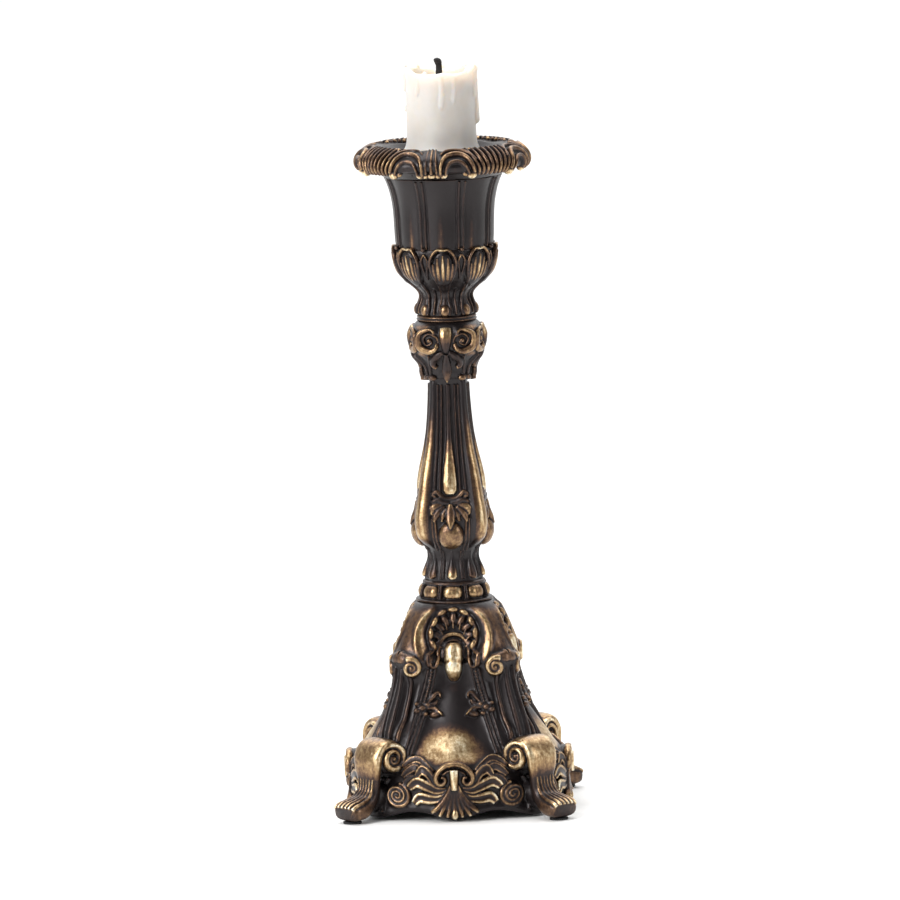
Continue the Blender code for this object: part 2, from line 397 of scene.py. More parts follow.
def model_pebble() -> tuple[np.ndarray, np.ndarray]:
    """Models the one bead that every bead and boss is a copy of.

    Returns:
        Its points, one metre in radius, and its triangles.
    """
    bpy.ops.mesh.primitive_ico_sphere_add(subdivisions=3, radius=1.0)
    bead = only(bpy.context.object)
    points = vertex_places(bead.data)
    faces = np.array([face.vertices[:] for face in bead.data.polygons])
    bpy.ops.object.delete()
    return points, faces


PEBBLE = model_pebble()


@dataclass
class Relief:
    """Closed shapes that are to be fused, with how much gold shows on each."""

    points: list[np.ndarray] = field(default_factory=list)
    faces: list[np.ndarray] = field(default_factory=list)
    gilding: list[np.ndarray] = field(default_factory=list)

    def add(self, points: np.ndarray, faces: np.ndarray, gilding: float | np.ndarray) -> None:
        """Adds one closed shape; a triangle in faces has its last corner twice.

        Args:
            points: the shape's points.
            faces: its faces, four corners each.
            gilding: how much gold shows, one value or one for each point.
        """
        self.points.append(points)
        self.faces.append(faces)
        self.gilding.append(np.broadcast_to(np.asarray(gilding, float), (len(points),)))

    def loft(self, rings: np.ndarray, gilding: np.ndarray, torus: bool = False) -> None:
        """Adds a body through rings of points.

        Args:
            rings: rings, points in a ring and three coordinates.
            gilding: rings by points in a ring.
            torus: joins the last ring to the first, instead of closing each end with a fan.
        """
        count, sides = rings.shape[:2]
        points, gilt = rings.reshape(-1, 3), gilding.reshape(-1)
        lower = np.arange(count if torus else count - 1)[:, None] * sides
        side = np.arange(sides)[None, :]
        following = (side + 1) % sides
        above = (lower + sides) % (count * sides)
        quads = np.stack([lower + side, lower + following, above + following, above + side],
                         axis=-1).reshape(-1, 4)
        if torus:
            self.add(points, quads, gilt)
            return
        centres = np.array([rings[0].mean(0), rings[-1].mean(0)])
        points = np.vstack([points, centres])
        gilt = np.append(gilt, [gilt[0], gilt[-1]])
        low, high = count * sides, count * sides + 1
        side, following = side[0], following[0]
        top = (count - 1) * sides
        fans = [np.stack([following, side, np.full(sides, low), np.full(sides, low)], -1),
                np.stack([top + side, top + following, np.full(sides, high), np.full(sides, high)], -1)]
        self.add(points, np.vstack([quads, *fans]), gilt)

    def sweep(self, line: np.ndarray, outwards: np.ndarray, width: Amount, height: Amount, gilding: Amount,
              sides: int = 10, squareness: float = 1.0) -> None:
        """Adds a rounded moulding along a line.

        Args:
            line: the line's points.
            outwards: the way outwards at each point.
            width: half the moulding's width, one value or a few along the line.
            height: half its thickness, likewise.
            gilding: how much gold shows, one value or a few along the line.
            sides: how many sides its section has.
            squareness: 1 for an oval section, towards 0 for a square one.
        """
        count = len(line)
        run = unit(np.gradient(line, axis=0))
        out = unit(outwards - (outwards * run).sum(-1, keepdims=True) * run)
        across = np.cross(run, out)
        turn = math.tau * np.arange(sides) / sides
        cosine, sine = (np.sign(v) * np.abs(v) ** squareness for v in (np.cos(turn), np.sin(turn)))
        rings = (line[:, None]
                 + across[:, None] * (cosine[None, :, None] * along(width, count)[:, None, None])
                 + out[:, None] * (sine[None, :, None] * along(height, count)[:, None, None]))
        self.loft(rings, np.repeat(along(gilding, count)[:, None], sides, axis=1))

    def moulding(self, ground: Ground, path: np.ndarray, width: Amount, height: Amount, gilding: Amount,
                 lift: Amount = 0.0) -> None:
        """Lays a moulding along a path on a ground.

        Args:
            ground: what it is laid on.
            path: points across and up.
            width: half its width in millimetres, one value or a few.
            height: half its thickness, likewise.
            gilding: how much gold shows, likewise.
            lift: how far its middle stands off the ground, likewise.
        """
        places, outwards = ground.lay(np.asarray(path, float))
        lift, width, height = (np.asarray(size, float) * MM for size in (lift, width, height))
        self.sweep(places + outwards * along(lift, len(places))[:, None], outwards, width, height, gilding)

    def bead(self, ground: Ground, spot: Sequence[float], half: Sequence[float], gilding: float,
             turn: float = 0.0, lift: float = 0.0) -> None:
        """Sets a bead or boss on a ground.

        Args:
            ground: what it is set on.
            spot: its middle, across and up.
            half: half its size across, up and outwards in millimetres.
            gilding: how much gold shows.
            turn: how far it is turned in its own plane, in radians.
            lift: how far its middle stands off the ground in millimetres.
        """
        places, outwards = ground.lay(np.array([spot], float))
        out = outwards[0]
        right = unit(np.cross(UP, out))
        rise = np.cross(out, right)
        right, rise = (right * math.cos(turn) + rise * math.sin(turn),
                       rise * math.cos(turn) - right * math.sin(turn))
        half = np.asarray(half, float) * MM
        axes = np.array([right * half[0], rise * half[1], out * half[2]])
        points, faces = PEBBLE
        triangles = np.hstack([faces, faces[:, 2:]])
        self.add(points @ axes + places[0] + out * (lift * MM), triangles, gilding)

    def take(self, other: "Relief", matrix: np.ndarray | None = None) -> None:
        """Takes in copies of another relief's shapes, turned or mirrored by a matrix.

        Args:
            other: the relief that is copied.
            matrix: the turn or mirror; none leaves the copies as they are.
        """
        turn = np.eye(3) if matrix is None else matrix
        mirrored = np.linalg.det(turn) < 0
        for points, faces, gilding in zip(other.points, other.faces, other.gilding):
            self.add(points @ turn.T, faces[:, ::-1] if mirrored else faces, gilding)

    def mirror(self, matrix: np.ndarray) -> None:
        """Adds a mirrored copy of everything so far."""
        half = Relief(list(self.points), list(self.faces), list(self.gilding))
        self.take(half, matrix)

    def around(self, count: int) -> "Relief":
        """Everything so far, copied round the stem.

        Args:
            count: how many copies, the first where it is.

        Returns:
            A new relief.
        """
        ring = Relief()
        for i in range(count):
            ring.take(self, turned(math.tau * i / count))
        return ring


def turned(angle: float) -> np.ndarray:
    """The matrix of a turn about the stem."""
    c, s = math.cos(angle), math.sin(angle)
    return np.array([[c, -s, 0], [s, c, 0], [0, 0, 1]])


MIRROR_X = np.diag([-1.0, 1.0, 1.0])
# swaps the two sides of the front right corner
MIRROR_DIAGONAL = np.array([[0.0, -1.0, 0.0], [-1.0, 0.0, 0.0], [0.0, 0.0, 1.0]])


# ---- Casting: fusing a relief into one skin and rubbing it ----


@dataclass(frozen=True)
class Rubbing:
    """How the raised parts of a casting are rubbed back to gold.

    Distances are how far a point stands proud of its neighbourhood; the near one is about a rib wide
    and the wide one about a scroll wide.
    """

    near: float = 0.16 * MM
    wide: float = 0.60 * MM
    edge_gain: float = 0.42
    form_gain: float = 0.22

    def wear(self, places: np.ndarray, outwards: np.ndarray, edges: np.ndarray, gilding: np.ndarray,
             voxel: float) -> np.ndarray:
        """Works out how bare each point of the skin is.

        Args:
            places: the skin's points.
            outwards: its normals.
            edges: pairs of neighbouring points.
            gilding: what each point's own shape asks for, 0 to 1.
            voxel: the skin's mesh size.

        Returns:
            0 where the patina is whole to 1 where the metal is bare.
        """
        near_steps = max(2, round((0.9 * MM / voxel) ** 2))
        wide_steps = max(6, round((2.4 * MM / voxel) ** 2))
        gilt = averaged(gilding[:, None], edges, 2)[:, 0]
        near_mean = averaged(places, edges, near_steps)
        wide_mean = averaged(near_mean, edges, wide_steps)
        near = ((places - near_mean) * outwards).sum(1) / self.near
        wide = ((places - wide_mean) * outwards).sum(1) / self.wide
        near, wide = np.clip(near, -1.5, 1.5), np.clip(wide, -1.5, 1.5)
        proud = self.edge_gain * near + self.form_gain * wide
        bare = gilt * (0.60 + np.where(proud > 0, 0.70, 1.5) * proud) + (1 - gilt) * 0.16 * np.maximum(proud,
                                                                                                       0)
        return np.clip(bare, 0, 1)


def averaged(values: np.ndarray, edges: np.ndarray, steps: int) -> np.ndarray:
    """Evens values out over a mesh, each point with its neighbours.

    Args:
        values: points by columns.
        edges: pairs of neighbouring points.
        steps: how many times.

    Returns:
        The evened values.
    """
    count = len(values)
    first, second = edges[:, 0], edges[:, 1]
    neighbours = np.bincount(first, minlength=count) + np.bincount(second, minlength=count) + 1.0
    for _ in range(steps):
        columns = [
            np.bincount(first, column[second], count) + np.bincount(second, column[first], count) + column
            for column in values.T]
        values = np.stack(columns, axis=1) / neighbours[:, None]
    return values


def apply_modifier(piece: bpy.types.Object, kind: str, **settings: object) -> None:
    """Puts a modifier on a piece and applies it.

    Args:
        piece: the piece, which is the active object.
        kind: the modifier's Blender type.
        settings: attributes of the modifier.
    """
    modifier = piece.modifiers.new(kind.lower(), kind)
    modifier.show_viewport = False
    for name, value in settings.items():
        setattr(modifier, name, value)
    bpy.ops.object.modifier_apply(modifier=modifier.name)


def joined(relief: Relief) -> tuple[np.ndarray, list]:
    """A relief's shapes as one list of points and one of faces.

    Args:
        relief: the shapes.

    Returns:
        All the points, and all the faces as numbers of points.
    """
    starts = np.cumsum([0] + [len(points) for points in relief.points[:-1]])
    corners = np.vstack([faces + start for faces, start in zip(relief.faces, starts)])
    quads = corners[(corners[:, 2] != corners[:, 3]) & (corners[:, 0] != corners[:, 1])]
    fans = corners[corners[:, 2] == corners[:, 3]][:, :3]
    mirrored_fans = corners[corners[:, 0] == corners[:, 1]][:, 1:]
    return np.vstack(relief.points), [*quads.tolist(), *fans.tolist(), *mirrored_fans.tolist()]


def fuse(relief: Relief, name: str, voxel: float, softness: int) -> bpy.types.Object:
    """Fuses a relief into one skin.

    Args:
        relief: the shapes.
        name: the piece's name.
        voxel: the skin's mesh size in metres.
        softness: how many times it is smoothed.

    Returns:
        The piece, selected and active.
    """
    skin = only(mesh_object(name, *joined(relief)))
    skin.data.remesh_voxel_size = voxel
    bpy.ops.object.voxel_remesh()
    outermost = int(np.argmax((vertex_places(skin.data)[:, :2] ** 2).sum(1)))
    bpy.ops.object.mode_set(mode="EDIT")
    bpy.ops.mesh.select_mode(type="VERT")
    bpy.ops.mesh.select_all(action="DESELECT")
    bpy.ops.object.mode_set(mode="OBJECT")
    skin.data.vertices[outermost].select = True
    bpy.ops.object.mode_set(mode="EDIT")
    bpy.ops.mesh.select_linked()
    bpy.ops.mesh.select_all(action="INVERT")
    bpy.ops.mesh.delete(type="VERT")
    bpy.ops.object.mode_set(mode="OBJECT")
    apply_modifier(skin, "SMOOTH", factor=0.5, iterations=softness)
    return skin


@dataclass(frozen=True)
class Foundry:
    """Fuses reliefs into castings, rubs them and puts them on their bodies."""

    bronze: bpy.types.Material
    rubbing: Rubbing = Rubbing()

    def cast(self, relief: Relief, name: str, nodes: Sequence[str], body: Body, voxel: float,
             most_triangles: int = 190_000) -> None:
        """Casts a piece.

        Args:
            relief: the shapes.
            name: the piece's name.
            nodes: the CAD nodes that it stands for.
            body: what it moves with.
            voxel: the skin's mesh size in metres.
            most_triangles: the skin is thinned to this many.
        """
        skin = fuse(relief, name, voxel, softness=4)
        places = vertex_places(skin.data)
        edges = np.empty(len(skin.data.edges) * 2, np.int32)
        skin.data.edges.foreach_get("vertices", edges)
        normals = np.empty(len(skin.data.vertices) * 3, np.float32)
        skin.data.vertices.foreach_get("normal", normals)
        asked = self.gilding_under(places, relief)
        bare = self.rubbing.wear(places, normals.reshape(-1, 3), edges.reshape(-1, 2), asked, voxel)
        skin.data.attributes.new("rub", "FLOAT", "POINT").data.foreach_set("value", bare.astype(np.float32))
        triangles = 2 * len(skin.data.polygons)
        if triangles > most_triangles:
            apply_modifier(skin, "DECIMATE", ratio=most_triangles / triangles)
        bpy.ops.object.shade_smooth()
        skin.data.materials.append(self.bronze)
        report(skin, body, Slot.BRONZE, *nodes)

    @staticmethod
    def gilding_under(places: np.ndarray, relief: Relief) -> np.ndarray:
        """What the nearest shape under each point of the skin asks for.

        Args:
            places: the skin's points.
            relief: the shapes that the skin was fused from.

        Returns:
            What each point of the skin takes, 0 to 1.
        """
        points, faces = joined(relief)
        source = BVHTree.FromPolygons(points.tolist(), faces)
        gilding = np.concatenate(relief.gilding)
        by_face = np.array([gilding[face[0]] for face in faces])
        return by_face[[source.find_nearest(place)[2] for place in places]]


def report(piece: bpy.types.Object, body: Body, slot: Slot, *nodes: str) -> None:
    """Puts a finished piece on its body, hides the CAD nodes that it stands for, and logs it.

    Args:
        piece: the finished piece.
        body: what it moves with.
        slot: the record's material slot of its finish; not used.
        nodes: the CAD nodes that it stands for.
    """
    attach(piece, body.value)
    if nodes:
        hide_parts(*nodes)
    LOG.info("%s: %d faces on %s", piece.name, len(piece.data.polygons), body.value)


# ---- The base ----


@dataclass
class Base:
    """The hollow four-footed base: capes over the corners, a shell on each face, and scroll feet."""

    voxel: float = 0.50 * MM
    wall: float = 4.5 * MM
    apron_rise: float = 4.0 * MM
    rod_hole: float = 3.4 * MM
    eye: tuple = (33.0 * MM, -48.2 * MM, 33.5 * MM)  # the foot volute's eye
    volute_turn: float = math.radians(36)
    # height, distance to a face, distance to a corner, how narrow the corners are; in mm but for the last
    outline: tuple = (
        (1.3, 57.5, 63, 5), (4, 58.2, 63, 5), (8, 57.2, 61.5, 5), (12, 56.5, 60, 5), (18, 56.5, 57, 5),
        (25, 57, 54.5, 4), (29, 56.5, 53.5, 4), (33, 53.6, 52.6, 4), (37, 50.0, 52.6, 4),
        (42, 46.0, 53.0, 4.4), (47, 42.2, 52.4, 4.6), (56, 36.2, 49.2, 4.2), (66, 31.6, 45.0, 3.6),
        (75, 29.8, 42.2, 3), (83, 29.2, 41, 3), (92, 27.4, 36.6, 3), (102, 24.6, 31.8, 2.6),
        (109, 22.4, 27.0, 2.4), (113.4, 20.8, 22.4, 2))

    def __post_init__(self) -> None:
        """Works the outline out at close steps."""
        self.levels = smooth_line(self.outline, 6) * [MM, MM, MM, 1]
        self.ground = RoundGround(self.radius)
        self.polar_ground = RoundGround(self.radius, polar=True)

    def strap_across(self, height: np.ndarray) -> np.ndarray:
        """How far a strap's middle is from the face's middle."""
        return np.interp(height, [36 * MM, 48 * MM, 58 * MM, 70 * MM, 79.5 * MM],
                         [24.6 * MM, 20.8 * MM, 17.5 * MM, 14 * MM, 12 * MM])

    def from_niche(self, across: np.ndarray, height: np.ndarray) -> np.ndarray:
        """How far a point is from the shell's middle: 1 on the arch."""
        return np.sqrt((across / (15.6 * MM)) ** 2 + ((height - 96.6 * MM) / (15.6 * MM)) ** 2)

    def radius(self, angle: np.ndarray, height: np.ndarray, inset: float = 0.0) -> np.ndarray:
        """The body's radius at an angle and a height.

        Args:
            angle: from the front face, in radians.
            height: above the table, in metres.
            inset: how far inside the outer skin, in metres.

        Returns:
            The skin's distance from the axis at each, in metres.
        """
        face, corner, power = (np.interp(height, self.levels[:, 0], self.levels[:, i]) for i in (1, 2, 3))
        off = from_face(angle)
        r = face + (corner - face) * np.sin(2 * off) ** power
        if inset:
            return r - inset
        across = face * np.tan(off)
        strap = np.arctan2(self.strap_across(height), face)
        beside = (strap + 0.10 + DIAGONAL - 0.15) / 2
        channel = np.exp(-((off - beside) / 0.085) ** 2)
        r = r - 3.0 * MM * channel * soft_step(height, 44 * MM, 54 * MM) * soft_step(-height, -78 * MM,
                                                                                     -72 * MM)
        strap_bed = np.exp(-((across - self.strap_across(height)) / (3.0 * MM)) ** 4)
        r = r + 0.7 * MM * strap_bed * soft_step(height, 34 * MM, 40 * MM) * soft_step(-height, -80 * MM,
                                                                                       -78 * MM)
        niche = self.from_niche(across, height)
        high = soft_step(height, 80 * MM, 83.5 * MM)
        cape = high * soft_step(off, 0.36, 0.50)
        roll = np.exp(-((niche - 1.17) / 0.11) ** 2) * high * soft_step(-height, -112 * MM, -108 * MM)
        r = r - 2.6 * MM * soft_step(-niche, -1.02, -0.92) + 1.6 * MM * cape + 1.5 * MM * roll
        panel = soft_step(-across, -14 * MM, 0) * soft_step(height, 32 * MM, 42 * MM)
        return r + 2.0 * MM * panel * soft_step(-height, -76 * MM, -52 * MM)

    def skin_gilding(self, angle: np.ndarray, height: np.ndarray) -> np.ndarray:
        """How much gold shows on the body between its ornaments, with a painted sheen down the corner
        channels.

        Args:
            angle: from the front face, in radians.
            height: above the table, in metres.

        Returns:
            How much gold shows at each, 0 to 1.
        """
        off = from_face(angle)
        r = self.radius(angle, height)
        across = r * np.sin(off)
        side = np.sign((angle + DIAGONAL) % (2 * DIAGONAL) - DIAGONAL)
        niche = self.from_niche(across, height)
        high = soft_step(height, 80 * MM, 83 * MM)
        cape = high * soft_step(niche, 1.03, 1.12) * soft_step(-height, -114 * MM, -108 * MM)
        cape = cape * (0.62 + 0.40 * np.exp(-((niche - 1.18) / 0.13) ** 2))
        spread = np.interp(height, [30 * MM, 40 * MM, 47 * MM, 52 * MM],
                           [24 * MM, 17.5 * MM, 11 * MM, 5 * MM])
        tall = soft_step(height, 29 * MM, 32 * MM) * soft_step(-height, -53 * MM, -43 * MM)
        patch = 1.25 * soft_step(-np.abs(across * side + 4 * MM) / spread, -1.35, -0.45) * tall
        tail = 0.50 * np.exp(-(across / (3.4 * MM)) ** 2 - ((height - 71 * MM) / (7 * MM)) ** 2)
        # painted sheen: gold laid down the concave channels beside the corner ribs, where no rubbing reaches
        channel = 0.55 * soft_step(height, 43 * MM, 47 * MM) * soft_step(-height, -66 * MM, -50 * MM)
        channel = channel * np.exp(-((off - 0.60) / 0.09) ** 2)
        return np.maximum.reduce([cape, patch, tail, channel])

    def body(self, relief: Relief) -> None:
        """The hollow body.

        Args:
            relief: what the shapes are added to.
        """
        angles = math.tau * np.arange(224) / 224
        outer = self.levels[:, 0]
        wave = np.sin(4 * angles) ** 2
        rings, gilt = [], []
        for height in outer:
            lifted = height + self.apron_rise * wave * np.clip((14 * MM - height) / (12.7 * MM), 0, 1)
            heights = np.full_like(angles, height)
            rings.append(RoundGround(self.radius).at(angles, heights) * [1, 1, 0] + np.outer(lifted, UP))
            gilt.append(self.skin_gilding(angles, heights))
        top, ceiling = outer[-1], 106 * MM
        inner = [(self.rod_hole, top), (self.rod_hole, ceiling), (12 * MM, ceiling)]
        for r, z in inner:
            rings.append(np.stack([r * np.sin(angles), -r * np.cos(angles), np.full_like(angles, z)], -1))
            gilt.append(np.zeros_like(angles))
        for height in outer[::-4]:
            if height < 102 * MM:
                lifted = height + self.apron_rise * wave * np.clip((14 * MM - height) / (12.7 * MM), 0, 1)
                r = self.radius(angles, np.full_like(angles, height), inset=self.wall)
                rings.append(np.stack([r * np.sin(angles), -r * np.cos(angles), lifted], -1))
                gilt.append(np.zeros_like(angles))
        relief.loft(np.array(rings), np.array(gilt), torus=True)

    def arch(self, relief: Relief) -> None:
        """Half of the horseshoe moulding, whose foot curls in and runs up round the inner arch.

        Args:
            relief: what the shapes are added to.
        """
        outer = curve([
            (0, 111.4), (6.3, 110.2), (11.6, 106.6), (14.7, 100.6), (15.4, 93.6), (14.4, 86.6), (12.6, 82.2),
            (10.4, 81.2), (9.0, 83.6), (8.7, 87.5), (7.6, 92.4), (4.6, 96), (0, 97.3)])
        relief.moulding(self.ground, outer, (0.6, 0.7, 0.8, 1.2, 1.25), 1.5,
                        (0.35, 0.3, 0.5, 0.45, 0.6, 0.65), lift=0.9)
        fold = curve([(15.6, 90), (14.4, 84), (12, 80.4), (9.8, 79.8)])
        relief.moulding(self.ground, fold, (0.5, 1.0, 0.7), 1.3, 0.4, lift=0.6)
        second = curve([(6.4, 84.5), (5.8, 90.2), (3.6, 92.9), (0, 94.0)])
        relief.moulding(self.ground, second, 0.8, 1.3, 0.3, lift=0.8)

    def shell(self, relief: Relief) -> None:
        """The scallop shell inside the arch.

        Args:
            relief: what the shapes are added to.
        """
        lobes = 9
        bead_angles = np.radians(np.linspace(-24, 204, lobes))
        for i, angle in enumerate(bead_angles):
            away = np.array([math.cos(angle), math.sin(angle)])
            relief.bead(self.ground, [0, 97 * MM] + 12.8 * MM * away, (3.1, 1.6, 2.4), 0.66,
                        turn=angle - math.pi / 2, lift=1.5)
            relief.bead(self.ground, [0, 96.2 * MM] + 9.4 * MM * away, (2.0, 4.0, 2.0), 0.42,
                        turn=angle - math.pi / 2, lift=0.6)
            vein = np.array([[0, 93 * MM] + 7.0 * MM * away, [0, 96.6 * MM] + 10.8 * MM * away])
            relief.moulding(self.ground, smooth_line(vein), (0.3, 0.5), 0.8, 0.42, lift=1.9)

    def boss(self, relief: Relief) -> None:
        """The long smooth drop under the shell.

        Args:
            relief: what the shapes are added to.
        """
        line = curve([(0, 92), (0, 89), (0, 84), (0, 79), (0, 75), (0, 72.6)])
        relief.moulding(self.ground, line, [4.0, 5.0, 5.1, 4.6, 3.5, 1.6],
                        [4.0, 4.8, 5.0, 4.4, 3.0, 1.0], (0.5, 1.25, 1.3, 1.1, 0.9, 0.6),
                        lift=[2.6, 2.8, 2.4, 1.0, 0.3, 0])

    def corner_volute(self, relief: Relief) -> None:
        """The small volute at the lower edge of a cape, and the lip that joins it to its twin.

        Args:
            relief: what the shapes are added to.
        """
        centre = np.array([(22.8 * MM, 80.6 * MM)])
        places, outwards = self.ground.lay(centre)
        outwards = unit(outwards[0] * [1, 1, 0] + np.array([0, -0.9, 0]))
        board = FlatGround(places[0] + outwards * 0.2 * MM, unit(np.cross(UP, outwards)), outwards)
        relief.bead(board, (0, 0), (5.6, 5.6, 3.0), 0.15, lift=-1.2)
        scroll = spiral((0, 0), 5.3 * MM, 1.0 * MM, 1.75, math.radians(60))
        relief.moulding(board, scroll, (1.7, 1.3, 0.85), (2.4, 1.9, 1.4),
                        (0.85, 0.8, 0.5), lift=(0.4, 0.9, 0.9))
        relief.bead(board, (0, 0), (1.2, 1.2, 1.5), 0.6, lift=1.1)
        lip = np.array([(0.56, 86.0 * MM), (0.64, 85.6 * MM), (0.72, 85.6 * MM), (DIAGONAL, 86.4 * MM)])
        relief.moulding(self.polar_ground, smooth_line(lip), (1.2, 3.0, 3.6), (1.4, 2.0), 0.5, lift=0.3)

    def strap(self, relief: Relief) -> None:
        """The three-ribbed strap from the arch to the foot, its knot and the two buds on its inner side.

        Args:
            relief: what the shapes are added to.
        """
        heights = np.linspace(79.5 * MM, 35 * MM, 24)
        middle = np.stack([self.strap_across(heights), heights], axis=1)
        for offset, size in ((-1.9, 0.75), (1.9, 0.75), (0.0, 0.6)):
            relief.moulding(self.ground, middle + [offset * MM, 0], size, 1.3, 0.20, lift=0.3)
        for height in np.linspace(78 * MM, 62 * MM, 12):
            spot = (float(self.strap_across(height)), height)
            relief.bead(self.ground, spot, (0.8, 0.6, 0.9), 0.32, lift=1.2)
        knot = ((14.9, 60.4, 1.9), (20.0, 57.4, 2.0), (17.5, 58.8, 2.2), (16.0, 55.6, 1.6), (19.6, 60.8, 1.5))
        for across, height, size in knot:
            relief.bead(self.ground, (across * MM, height * MM), (size, size * 0.8, 2.0), 0.38, lift=1.0)
        relief.bead(self.ground, (9.9 * MM, 55.4 * MM), (3.6, 2.1, 2.2), 0.34, turn=-0.25, lift=0.8)
        buds = (
            ([(15, 58.6), (12.4, 58.6), (9.4, 57.4), (5.9, 54.6)], 0.5),
            ([(15, 60.6), (12.4, 60.2), (10.0, 61.0), (8.8, 62.4)], 0.3),
            ([(14.8, 61.6), (12.4, 63.8), (9.8, 66.2), (7.8, 65.6), (7.4, 63.6)], 0.4))
        for bud, gilding in buds:
            relief.moulding(self.ground, curve(bud), (0.6, 1.4, 1.2, 0.4),
                            1.7, gilding, lift=(0.6, 1.3, 1.6))

    def corner_ribs(self, relief: Relief) -> None:
        """The double rib down each corner from the cape, spreading over the foot.

        Args:
            relief: what the shapes are added to.
        """
        for near, gilding in ((0.055, 0.30), (0.150, 0.45)):
            line = np.array([(DIAGONAL - near, 80 * MM), (DIAGONAL - near, 62 * MM),
                             (DIAGONAL - near, 42 * MM)])
            relief.moulding(self.polar_ground, smooth_line(line, 12), (1.1, 1.3, 1.5), 1.7,
                            (0.18, gilding * 0.6, gilding), lift=0.3)

    def foot(self, relief: Relief) -> None:
        """Half of the front right foot: a strip rolled into the volutes, its leaf, its toe and one volute.

        Args:
            relief: what the shapes are added to.
        """
        radial = np.array([math.sin(DIAGONAL), -math.cos(DIAGONAL), 0])
        across = np.array([math.cos(DIAGONAL), math.sin(DIAGONAL), 0])
        strip = curve([
            (56.5, 25.8), (51.4, 28.3), (49.6, 34), (51.6, 39), (57, 41.6), (62.6, 40.2), (66.0, 35),
            (66.6, 28.6), (66.0, 22), (66.8, 15.6), (69.8, 10.4), (75.2, 7.0), (81.0, 6.0), (84.0, 5.2)])
        places = np.outer(strip[:, 0], radial) + np.outer(strip[:, 1], UP)
        run = unit(np.gradient(places, axis=0))
        out = unit(np.cross(run, np.tile(across, (len(places), 1))))
        half_width = np.array([10.0, 10.2, 10.2, 10.2, 10.3, 10.3, 10.1, 9.4, 7.8, 7.3, 7.8, 8.8, 9.0,
                               8.2]) * MM
        thick = np.array([1.2, 1.6, 1.8, 2.0, 2.4, 2.7, 3.0, 3.0, 3.0, 3.2, 4.0, 5.2, 4.8, 3.6]) * MM
        gilt = (0.4, 0.5, 0.5, 0.6, 0.8, 0.95, 1.0, 0.9, 0.38, 0.28, 0.38, 0.62, 0.62, 0.30)
        relief.sweep(places, out, half_width, thick, gilt, sides=36, squareness=0.68)
        for line, widths, depths in (
                (((47, 34), (56, 33), (63, 29)), (8.0, 8.4, 8.0), (6, 7, 6)),
                (((53, 11), (62, 12), (68, 9)), (8.0, 7.2, 6.6), (9, 8, 5))):
            core = np.array(line) * MM
            relief.sweep(np.outer(core[:, 0], radial) + np.outer(core[:, 1], UP), np.tile(UP, (3, 1)),
                         np.array(widths) * MM, np.array(depths) * MM, 0.08, sides=24)
        start = int(len(strip) * 0.60)
        widths, depths = along(half_width, len(strip))[start:], along(thick, len(strip))[start:]
        for share in (0.16, 0.48, 0.80):
            spread = share * np.linspace(0.9, 1.04, len(widths))
            rise = depths * np.maximum(1 - np.abs(spread) ** 4, 0.05) ** 0.25
            line = places[start:] + across * (spread * widths)[:, None] + out[start:] * rise[:, None]
            relief.sweep(line, out[start:], (0.4 * MM, 1.1 * MM, 1.1 * MM, 1.0 * MM),
                         (0.3 * MM, 1.1 * MM, 1.2 * MM), (0.9, 0.6, 0.45, 0.6, 1.0))
        self.foot_volute(relief)

    def foot_volute(self, relief: Relief) -> None:
        """The volute on the front face's side of the right foot.

        Args:
            relief: what the shapes are added to.
        """
        out = np.array([-math.sin(self.volute_turn), -math.cos(self.volute_turn), 0])
        right = np.array([math.cos(self.volute_turn), -math.sin(self.volute_turn), 0])
        board = FlatGround(np.array(self.eye), right, out)
        relief.bead(board, (0, 0), (8.8, 8.8, 4), 0.06, lift=-4.4)
        scroll = spiral((0, 0), 8.6 * MM, 1.6 * MM, 2.15, math.radians(-10), 28)
        relief.moulding(board, scroll, (0.7, 1.9, 1.8, 1.4, 1.2, 0.9),
                        (1.0, 3.0, 2.8, 2.3, 1.9, 1.5),
                        (0.9, 1.0, 0.9, 0.7, 0.55, 0.45), lift=(-1.6, -0.4, -0.5, -0.7, -0.6))
        relief.bead(board, (0, 0), (1.6, 1.6, 2.2), 0.45, lift=-0.6)

    def leaf(self, relief: Relief, ground: Ground, points: Sequence, fat: float, gilding: float,
             lift: float = 1.2) -> None:
        """A fat lobe of acanthus with a raised edge on either side of its vein.

        Args:
            relief: what the shapes are added to.
            ground: what the ornament is laid on.
            points: the leaf's middle line, across and up in millimetres.
            fat: half the lobe's width in millimetres.
            gilding: how much gold shows.
            lift: how far its middle stands off the ground in millimetres.
        """
        line = curve(points)
        size = np.array([0.30, 0.75, 1.0, 1.05, 0.6]) * fat
        relief.moulding(ground, line, size, (1.2, 1.6, 1.4), gilding * 0.5, lift=lift * 0.6)
        sideways = unit(np.gradient(line, axis=0))[:, ::-1] * [-1, 1]
        for hand in (-1, 1):
            edge = line + sideways * (hand * 0.62 * MM * along(size, len(line)))[:, None]
            relief.moulding(ground, edge, along(size * 0.34, len(line)), (0.8, 1.3, 1.4, 1.1),
                            (gilding * 0.8, gilding, gilding * 1.2), lift=lift)

